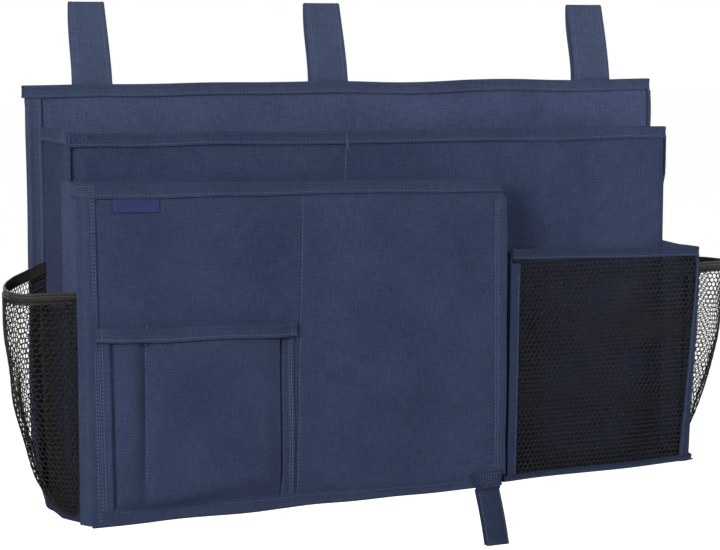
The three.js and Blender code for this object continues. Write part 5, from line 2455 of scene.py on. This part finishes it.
@dataclass
class SidePocket(Assembly):
    """A net that bulges out from one side under an elastic mouth."""

    name: str
    sign: float
    plan: MouthPlan
    net: NetWeave = NetWeave(pitch=5.0, row=4.1, strand=1.1)
    gather: float = 1.5
    fullness: float = 1.15
    net_height: float = 180.0
    fold_depth: float = 2.4
    elastic_ribs: int = 4
    elastic_height: float = 9.6
    foot_z: float = 1.6

    def __post_init__(self) -> None:
        """Reads the pocket's size from the frame and lays its mouth."""
        self.body = self.box(f"{self.name}_side_net")
        wall = self.body.x1 if self.sign < 0 else self.body.x0
        line = rounded([vec(wall + self.sign * out, y, 0.0) for out, y in self.plan.places])
        normals = []
        for index in range(len(line)):
            along = (line[min(index + 1, len(line) - 1)] - line[max(index - 1, 0)]).normalized()
            normals.append(vec(along.y, -along.x, 0.0) * -self.sign)
        self.mouth = Route(line, normals)
        self.length = self.mouth.length()
        self.wall = wall

    def build(self) -> None:
        """Makes the net and its elastic."""
        self._net()
        self._elastic()

    def mouth_z(self, share: float) -> float:
        """Returns the mouth's height, which changes towards the rear."""
        return self.plan.front_z + self.plan.rear_lift * (1.0 - share) ** 3

    def hang(self, name: str, draft: Draft, slot: Slot, node: str, net: NetWeave | None = None) -> None:
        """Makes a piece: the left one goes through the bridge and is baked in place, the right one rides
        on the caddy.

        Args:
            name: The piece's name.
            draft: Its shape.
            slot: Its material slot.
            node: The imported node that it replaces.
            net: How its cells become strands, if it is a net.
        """
        if self.sign < 0:
            start, end = vec(0.0, -45.0, 0.0), vec(0.0, self.body.y0, 0.0)
            self.shop.bridge(name, draft, slot, start, end, [node], net=net)
            return
        piece = self.make(name, draft, node, slot)
        if net is not None:
            net.knit(piece)

    def _net(self) -> None:
        """Makes the net, drawn together towards its foot, and a thin inner layer near the side panel
        whose dark strands are painted shade.
        """
        width, tall = self.length * self.fullness, self.net_height
        # The inner layer of thin dark strands lies near the side panel to darken it: painted shade for
        # the pocket's inside.
        layers = ((1.0, self.net.strand, 0.0), (0.3, 0.6, 1.7))

        def surface(u: float, v: float, reach: float = 1.0) -> Vector:
            """Returns the net's point: the cells crowd together lower down.

            Args:
                u: The place across.
                v: The place up.
                reach: 1 for the outer layer, less for the one inside.

            Returns:
                The point.
            """
            level = v / tall
            share = (u / width) ** self.gather
            point, out = self.mouth.at(share * self.length)
            full = mixed(self.plan.foot_out, 1.0, math.sin(math.pi / 2 * level**0.75))
            gathered = 1.0 - level
            fold = self.fold_depth * math.sin(share * 31.0 + 3.0 * level) * gathered * eased(level * 6.0)
            soft = 2.0 * ripple(u, v, 45.0, 141.0 + self.sign) * eased(level * 3.0)
            x = self.wall + (point.x - self.wall) * full * reach
            y = mixed(mixed(self.plan.places[0][1], self.plan.places[-1][1], share), point.y, full)
            bulge = (fold + soft) * math.sin(math.pi * share) * reach
            high = self.mouth_z(share) - self.elastic_height * 0.6
            high = min(high, self.plan.front_z - 12.0) if reach < 1.0 else high
            return vec(x, y, mixed(self.foot_z, high, level)) + out * bulge

        drafts = []
        for reach, strand, shift in layers:
            weave = NetWeave(self.net.pitch, self.net.row, strand)
            face = partial(surface, reach=reach)
            drafts.append(weave.draft(face, width, tall, shift=shift))
        draft = joined(drafts)
        node = f"{self.name}_side_net"
        self.hang(f"{node}_knit", draft, Slot.NET, node, self.net)

    def _elastic(self) -> None:
        """Makes the ribbed elastic round the mouth."""
        ribs, thick, swell = self.elastic_ribs, 1.1, 0.42
        tall = self.elastic_height
        outer = []
        for index in range(ribs * 4 + 1):
            share = index / (ribs * 4)
            bulge = swell * abs(math.sin(math.pi * share * ribs))
            outer.append((bulge, -tall * (1.0 - share)))
        outline = [*outer, (-thick, 0.0), (-thick, -tall)]
        path, sides = [], []
        steps = 60
        for index in range(steps + 1):
            share = index / steps
            point, out = self.mouth.at(share * self.length)
            crimp = 0.35 * ripple(share * 160.0, 0.0, 7.0, 151.0)
            high = self.mouth_z(share) + 0.4 * ripple(share * 90.0, 0.0, 14.0, 152.0)
            path.append(point + UP * high + out * (crimp - 0.6))
            sides.append(out)
        draft = swept(path, sides, [UP] * len(path), lambda _: outline)
        node = f"{self.name}_side_elastic"
        self.hang(f"{node}_tape", draft, Slot.ELASTIC, node)


@dataclass
class HangingLoop(Assembly):
    """A doubled strap that rises from the back panel, folds over the rail and closes behind."""

    thread: Thread = field(default=Thread(pitch=2.8), init=False)
    name: str
    flap_body: Body
    foot: Pair
    top: Pair
    behind: float = 8.0
    lean: float = 16.5
    fold_radius: float = 1.2
    thickness: float = 1.5
    stitch_inset: float = 3.9
    bow: float = 1.2

    def __post_init__(self) -> None:
        """Reads the strap's size from the frame."""
        self.front = self.box(f"{self.name}_strap_front")
        self.flap = self.box(f"{self.name}_strap_flap")
        self.panel_top = self.box("top_binding").z1

    def build(self) -> None:
        """Makes the strap, its flap and both patches."""
        half = self.thickness / 2
        foot_y = self.front.y0 + half
        fold_z = self.front.z1 - half - self.fold_radius
        fold_y = foot_y + self.lean + self.fold_radius
        rise = [(foot_y, self.front.z0), (foot_y, mixed(self.front.z0, self.panel_top, 0.5))]
        rise += [(foot_y, self.panel_top - 3.0)]
        for share in (0.2, 0.4, 0.6, 0.8, 1.0):
            y = foot_y + self.lean * share - self.bow * math.sin(math.pi * share)
            rise.append((y, mixed(self.panel_top, fold_z, share)))
        for step in range(1, 11):
            angle = math.pi * (1.0 - step / 10.0)
            rise.append(
                (fold_y + self.fold_radius * math.cos(angle), fold_z + self.fold_radius * math.sin(angle))
            )
        rise.append((fold_y + self.fold_radius, self.flap.z1))
        self._strap(f"{self.name}_loop_front_strap", rise, Body.CADDY, f"{self.name}_strap_front")
        flap_y = self.box(f"{self.name}_hook_patch").y1 + 0.3 + half
        crease_y = fold_y + self.fold_radius
        near = foot_y + self.behind
        hang = []
        for z in spaced(self.flap.z1, self.flap.z0, 5.0):
            drop = (self.flap.z1 - z) / (self.flap.z1 - self.panel_top)
            y = mixed(crease_y, near, eased(drop))
            hang.append((mixed(y, flap_y, eased((drop - 1.0) / 0.35)), z))
        self._strap(f"{self.name}_loop_flap_strap", hang, self.flap_body, f"{self.name}_strap_flap")
        self._patches()

    def _strap(self, name: str, line: list[Pair], body: Body, node: str) -> None:
        """Sweeps a strap along a line of (y, z) places and stitches both its edges.

        Args:
            name: The piece's name.
            line: The strap's middle line.
            body: What it rides on.
            node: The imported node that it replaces.
        """
        shares = [eased((z - self.panel_top) / (self.front.z1 - self.panel_top)) for _, z in line]
        edges = [[mixed(a, b, share) for a, b in zip(self.foot, self.top)] for share in shares]
        path = [vec((a + b) / 2, y, z) for (a, b), (y, z) in zip(edges, line)]
        ups = []
        for index in range(len(path)):
            along = (path[min(index + 1, len(path) - 1)] - path[max(index - 1, 0)]).normalized()
            ups.append(-along.cross(RIGHT))
        thick = self.thickness / 2

        def outline(index: int) -> Outline:
            """Returns the strap's section, with a ridge along each folded edge.

            Args:
                index: Which section.

            Returns:
                The outline.
            """
            half = (edges[index][1] - edges[index][0]) / 2
            right = [
                (half - 0.7, -thick), (half, -thick * 0.6), (half - 0.25, 0.0), (half, thick * 0.6),
                (half - 0.7, thick), (half - 2.2, thick * 1.3), (half - 3.9, thick * 0.85),
                (half - 5.5, thick * 1.1), (half - 9.0, thick),
            ]
            return right + [(-a, b) for a, b in reversed(right)]

        draft = swept(path, [RIGHT] * len(path), ups, outline)
        self.make(name, draft, node, Slot.STRAP, body=body)
        rows = []
        for side, inset in enumerate((self.stitch_inset, -self.stitch_inset)):
            points = [
                vec(edge[side] + inset, p.y, p.z) + up * (thick * 0.85 + 0.1)
                for edge, p, up in zip(edges, path, ups)
            ]
            rows.append(self.thread.row(Route(points, ups)))
        self.shop.sew(f"{name}_stitching", rows, Slot.STRAP, body)

    def _patches(self) -> None:
        """Makes the loop patch on the back panel and the hook patch on the flap."""
        slack = Slack(wave=0.12, period=6.0, seed=161.0, margin=3.0)
        for kind, body in (("hook", self.flap_body), ("loop", Body.CADDY)):
            node = f"{self.name}_{kind}_patch"
            box = self.box(node)
            ends = ((box.x0, box.y0), (box.x1, box.y0)) if kind == "hook" else (
                (box.x1, box.y1), (box.x0, box.y1)
            )
            panel = Panel(upright(*ends, box.z0, box.z1, box.z1), slack, thickness=box.deep, step=2.5)
            self.make(f"{self.name}_{kind}_pile", panel.draft(), node, Slot.PILE, body=body)


@dataclass
class BottomStrap(Assembly):
    """The strap under the front pocket: a sewn root patch and two hanging plies."""

    thread: Thread = field(default=Thread(pitch=2.6, length=2.0), init=False)
    lean_degrees: float = 9.0
    slant: float = 0.125

    def __post_init__(self) -> None:
        """Reads the strap's size from the frame."""
        self.root = self.box("bottom_strap_root")
        self.front = self.box("bottom_strap_front_ply")
        self.pivot = vec((self.root.x0 + self.root.x1) / 2, self.root.y0 + 1.0, self.root.z0 - 1.3)

    def build(self) -> None:
        """Makes the root patch and both plies."""
        box = self.root
        panel = Panel(
            (
                vec(box.x0 + 4.0, box.y0 - 0.9, box.z0 - 1.0),
                vec(box.x1 + 2.1, box.y0 - 0.9, box.z0 - 1.6),
                vec(box.x1 + 4.0, box.y0 - 0.9, box.z0 + 14.1),
                vec(box.x0 + 1.6, box.y0 - 0.9, box.z0 + 14.9),
            ),
            Slack(wave=0.3, period=12.0, seed=171.0, margin=3.0, swell=0.5), thickness=1.1, step=2.0,
        )
        # The root patch gets the darker tape, painted shade.
        self.make(
            "bottom_strap_root_patch", panel.draft(), "bottom_strap_root", Slot.STRAP,
            self.wear.deep_shade_tape, body=Body.FRONT_POCKET,
        )
        rows = []
        for index in range(6):
            low = box.z0 + 0.2 + index * 2.2
            rows.append(self.thread.row(panel.seam((box.x0 + 5.0, low), (box.x1 + 1.0, low + 2.4))))
        self.shop.sew("bottom_strap_root_stitching", rows, Slot.STRAP, Body.FRONT_POCKET)
        self._ply("bottom_strap_front_tape", "bottom_strap_front_ply", 0.0, 11.4, 50.0)
        self._ply("bottom_strap_rear_tape", "bottom_strap_rear_ply", 1.25, 11.4, 49.0)

    def _ply(self, name: str, node: str, back: float, half: float, length: float) -> None:
        """Makes one hanging ply.

        Args:
            name: The piece's name.
            node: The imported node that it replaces.
            back: How far it lies behind the front ply.
            half: Half its width.
            length: How far it hangs.
        """
        lean = math.radians(self.lean_degrees)
        down = vec(0.0, -math.sin(lean), -math.cos(lean))
        out = vec(0.0, -math.cos(lean), math.sin(lean))
        start = -0.2 if back else -0.3
        path = []
        for run in spaced(start, length, 4.0):
            bow = 1.1 * math.sin(math.pi * max(run, 0.0) / length)
            aside = RIGHT * (3.6 + self.slant * run - 1.1 * back)
            path.append(self.pivot + down * run + aside + out * (0.5 - back + bow))
        thick = 0.5
        outline = [
            (-half, 0.0), (-half + 0.5, -thick), (half - 0.5, -thick), (half, 0.0), (half - 0.5, thick),
            (-half + 0.5, thick),
        ]
        draft = swept(path, [RIGHT] * len(path), [out] * len(path), lambda _: outline)
        # Both plies get darker tapes, painted shade; the rear ply gets the darkest, for the shade behind
        # the front ply.
        cloth = self.wear.foot_shade_tape if back else self.wear.deep_shade_tape
        self.make(name, draft, node, Slot.STRAP, cloth, body=Body.BOTTOM_STRAP)
        if not back:
            rows = []
            for inset in (-half + 1.7, half - 1.7):
                points = [p + RIGHT * inset + out * (thick + 0.1) for p in path[1:]]
                rows.append(self.thread.row(Route(points, [out] * len(points))))
            foot = path[-1] - down * 2.5
            points = [foot + RIGHT * a + out * (thick + 0.1) for a in (-half + 2, 0, half - 2)]
            rows.append(self.thread.row(Route(points, [out] * 3)))
            self.shop.sew(f"{name}_stitching", rows, Slot.STRAP, Body.BOTTOM_STRAP)


@dataclass(frozen=True)
class Studio:
    """The camera at the photograph's place, soft light, a pale floor and a white backdrop."""

    bench: Bench
    azimuth: float = 26.21
    pitch: float = 6.6
    roll: float = 0.07
    focal_pixels: float = 2150.5
    frame_pixels: float = 720.0
    sensor: float = 36.0
    eye: Triple = (-839.4, -1710.6, 397.2)
    floor_drop: float = 420.0
    floor_glow: float = 0.93
    middle: Triple = (0.0, -40.0, 180.0)
    room: Triple = (0.95, 0.97, 1.0)
    room_light: float = 0.12
    lamps: tuple[tuple[str, Triple, float, float], ...] = (
        ("key_light", (-1924.0, -1654.0, 853.0), 700.0, 67.0),
        ("top_light", (-500.0, -1500.0, 2000.0), 900.0, 12.0),
        ("right_light", (600.0, -480.0, 300.0), 320.0, 2.5),
        ("rear_light", (300.0, 2200.0, 900.0), 1800.0, 24.0),
    )

    def build(self) -> None:
        """Sets up the camera, the lights, the world and the floor."""
        scene = bpy.context.scene
        scene.view_settings.view_transform = "Standard"
        self._camera(scene)
        for lamp in self.lamps:
            self._lamp(*lamp)
        self._world(scene)
        self._floor()

    def _camera(self, scene: bpy.types.Scene) -> None:
        """Places the camera that the photograph was fitted with.

        Args:
            scene: The scene.
        """
        data = bpy.data.cameras.new("photo_camera")
        data.sensor_width = self.sensor
        data.lens = self.focal_pixels * self.sensor / self.frame_pixels
        data.clip_start, data.clip_end = 0.05, 50.0
        camera = bpy.data.objects.new("photo_camera", data)
        scene.collection.objects.link(camera)
        camera.location = self.bench.metres(Vector(self.eye))
        turn, tip = math.radians(self.azimuth), math.radians(self.pitch)
        look = vec(math.sin(turn) * math.cos(tip), math.cos(turn) * math.cos(tip), -math.sin(tip))
        camera.rotation_mode = "QUATERNION"
        camera.rotation_quaternion = Quaternion(look, -math.radians(self.roll)) @ look.to_track_quat(
            "-Z", "Y"
        )
        scene.camera = camera

    def _lamp(self, name: str, place: Triple, size: float, power: float) -> None:
        """Places a square soft lamp that faces the middle of the caddy.

        Args:
            name: Its name.
            place: Its place on the bench.
            size: Its side, in millimetres.
            power: Its power, in watts.
        """
        data = bpy.data.lights.new(name, "AREA")
        data.size = size * MM
        data.energy = power
        lamp = bpy.data.objects.new(name, data)
        bpy.context.scene.collection.objects.link(lamp)
        lamp.location = self.bench.metres(Vector(place))
        middle = self.bench.metres(Vector(self.middle))
        lamp.rotation_mode = "QUATERNION"
        lamp.rotation_quaternion = (middle - lamp.location).to_track_quat("-Z", "Y")

    def _world(self, scene: bpy.types.Scene) -> None:
        """Lights the scene evenly and shows white behind it.

        Args:
            scene: The scene.
        """
        desk = NodeDesk(bpy.data.worlds.new("white_room"))
        scene.world = desk.owner
        desk.tree.nodes.clear()
        soft = desk.add("ShaderNodeBackground", {"Color": (*self.room, 1.0), "Strength": self.room_light})
        white = desk.add("ShaderNodeBackground", {"Color": WHITE, "Strength": 1.0})
        rays = desk.add("ShaderNodeLightPath").outputs
        seen = desk.math("MAXIMUM", rays["Is Camera Ray"], rays["Is Glossy Ray"])
        shown = desk.math("MAXIMUM", seen, rays["Is Transmission Ray"])
        mix = desk.add("ShaderNodeMixShader", {"Fac": shown, 1: soft.outputs[0], 2: white.outputs[0]})
        desk.add("ShaderNodeOutputWorld", {"Surface": mix.outputs[0]})

    def _floor(self) -> None:
        """Lays the pale floor under the hanging caddy."""
        reach = 20.0
        mesh = bpy.data.meshes.new("floor")
        level = self.bench.floor - self.floor_drop * MM
        corners = [
            (-reach, -reach, level), (reach, -reach, level), (reach, reach, level), (-reach, reach, level)
        ]
        mesh.from_pydata(corners, [], [(0, 1, 2, 3)])
        floor = bpy.data.objects.new("floor", mesh)
        bpy.context.scene.collection.objects.link(floor)
        desk = NodeDesk(bpy.data.materials.new("pale_floor"))
        values = {"Base Color": (0.5, 0.5, 0.5, 1.0), "Roughness": 0.9, "Specular IOR Level": 0.0}
        desk.fill(desk.shader, values)
        rays = desk.add("ShaderNodeLightPath").outputs
        strength = desk.math("MULTIPLY", rays["Is Camera Ray"], self.floor_glow)
        glow = desk.add("ShaderNodeEmission", {"Color": WHITE, "Strength": strength})
        both = desk.add("ShaderNodeAddShader", {0: desk.shader.outputs[0], 1: glow.outputs[0]})
        desk.fill(desk.tree.nodes["Material Output"], {"Surface": both.outputs[0]})
        mesh.materials.append(desk.owner)


LEFT_MOUTH = MouthPlan(
    places=(
        (0.6, -4.0), (18.0, -8.0), (36.0, -20.0), (47.0, -36.0), (50.5, -52.0), (51.0, -66.0),
        (44.0, -78.0), (28.0, -81.5), (0.6, -84.0),
    ),
    front_z=186.0, rear_lift=17.0, foot_out=0.08,
)
RIGHT_MOUTH = MouthPlan(
    places=(
        (0.6, -4.0), (24.0, -7.0), (46.0, -18.0), (60.0, -34.0), (64.5, -52.0), (60.0, -68.0),
        (46.0, -78.0), (28.0, -80.5), (10.0, -82.0),
    ),
    front_z=181.0, rear_lift=-4.0, foot_out=0.12,
)


def main() -> None:
    """Builds the studio and every sub-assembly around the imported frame."""
    logging.basicConfig(level=logging.INFO, format="%(name)s: %(message)s")
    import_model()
    bench = Bench.from_frame()
    Studio(bench).build()
    shop = Workshop(bench, Wardrobe())
    BackPanel(shop).build()
    MainCompartment(shop).build()
    front = FrontPocket(shop)
    front.build()
    SmallPocket(shop, front).build()
    MeshPocket(shop).build()
    SidePocket(shop, "left", -1.0, LEFT_MOUTH).build()
    SidePocket(shop, "right", 1.0, RIGHT_MOUTH).build()
    HangingLoop(shop, "left", Body.LEFT_FLAP, (-260.1, -225.5), (-257.6, -226.4), behind=3.6).build()
    HangingLoop(shop, "middle", Body.MIDDLE_FLAP, (-41.1, -5.7), (-40.8, -6.6)).build()
    HangingLoop(shop, "right", Body.RIGHT_FLAP, (229.9, 267.6), (229.8, 267.5)).build()
    BottomStrap(shop).build()


if __name__ == "__main__":
    main()
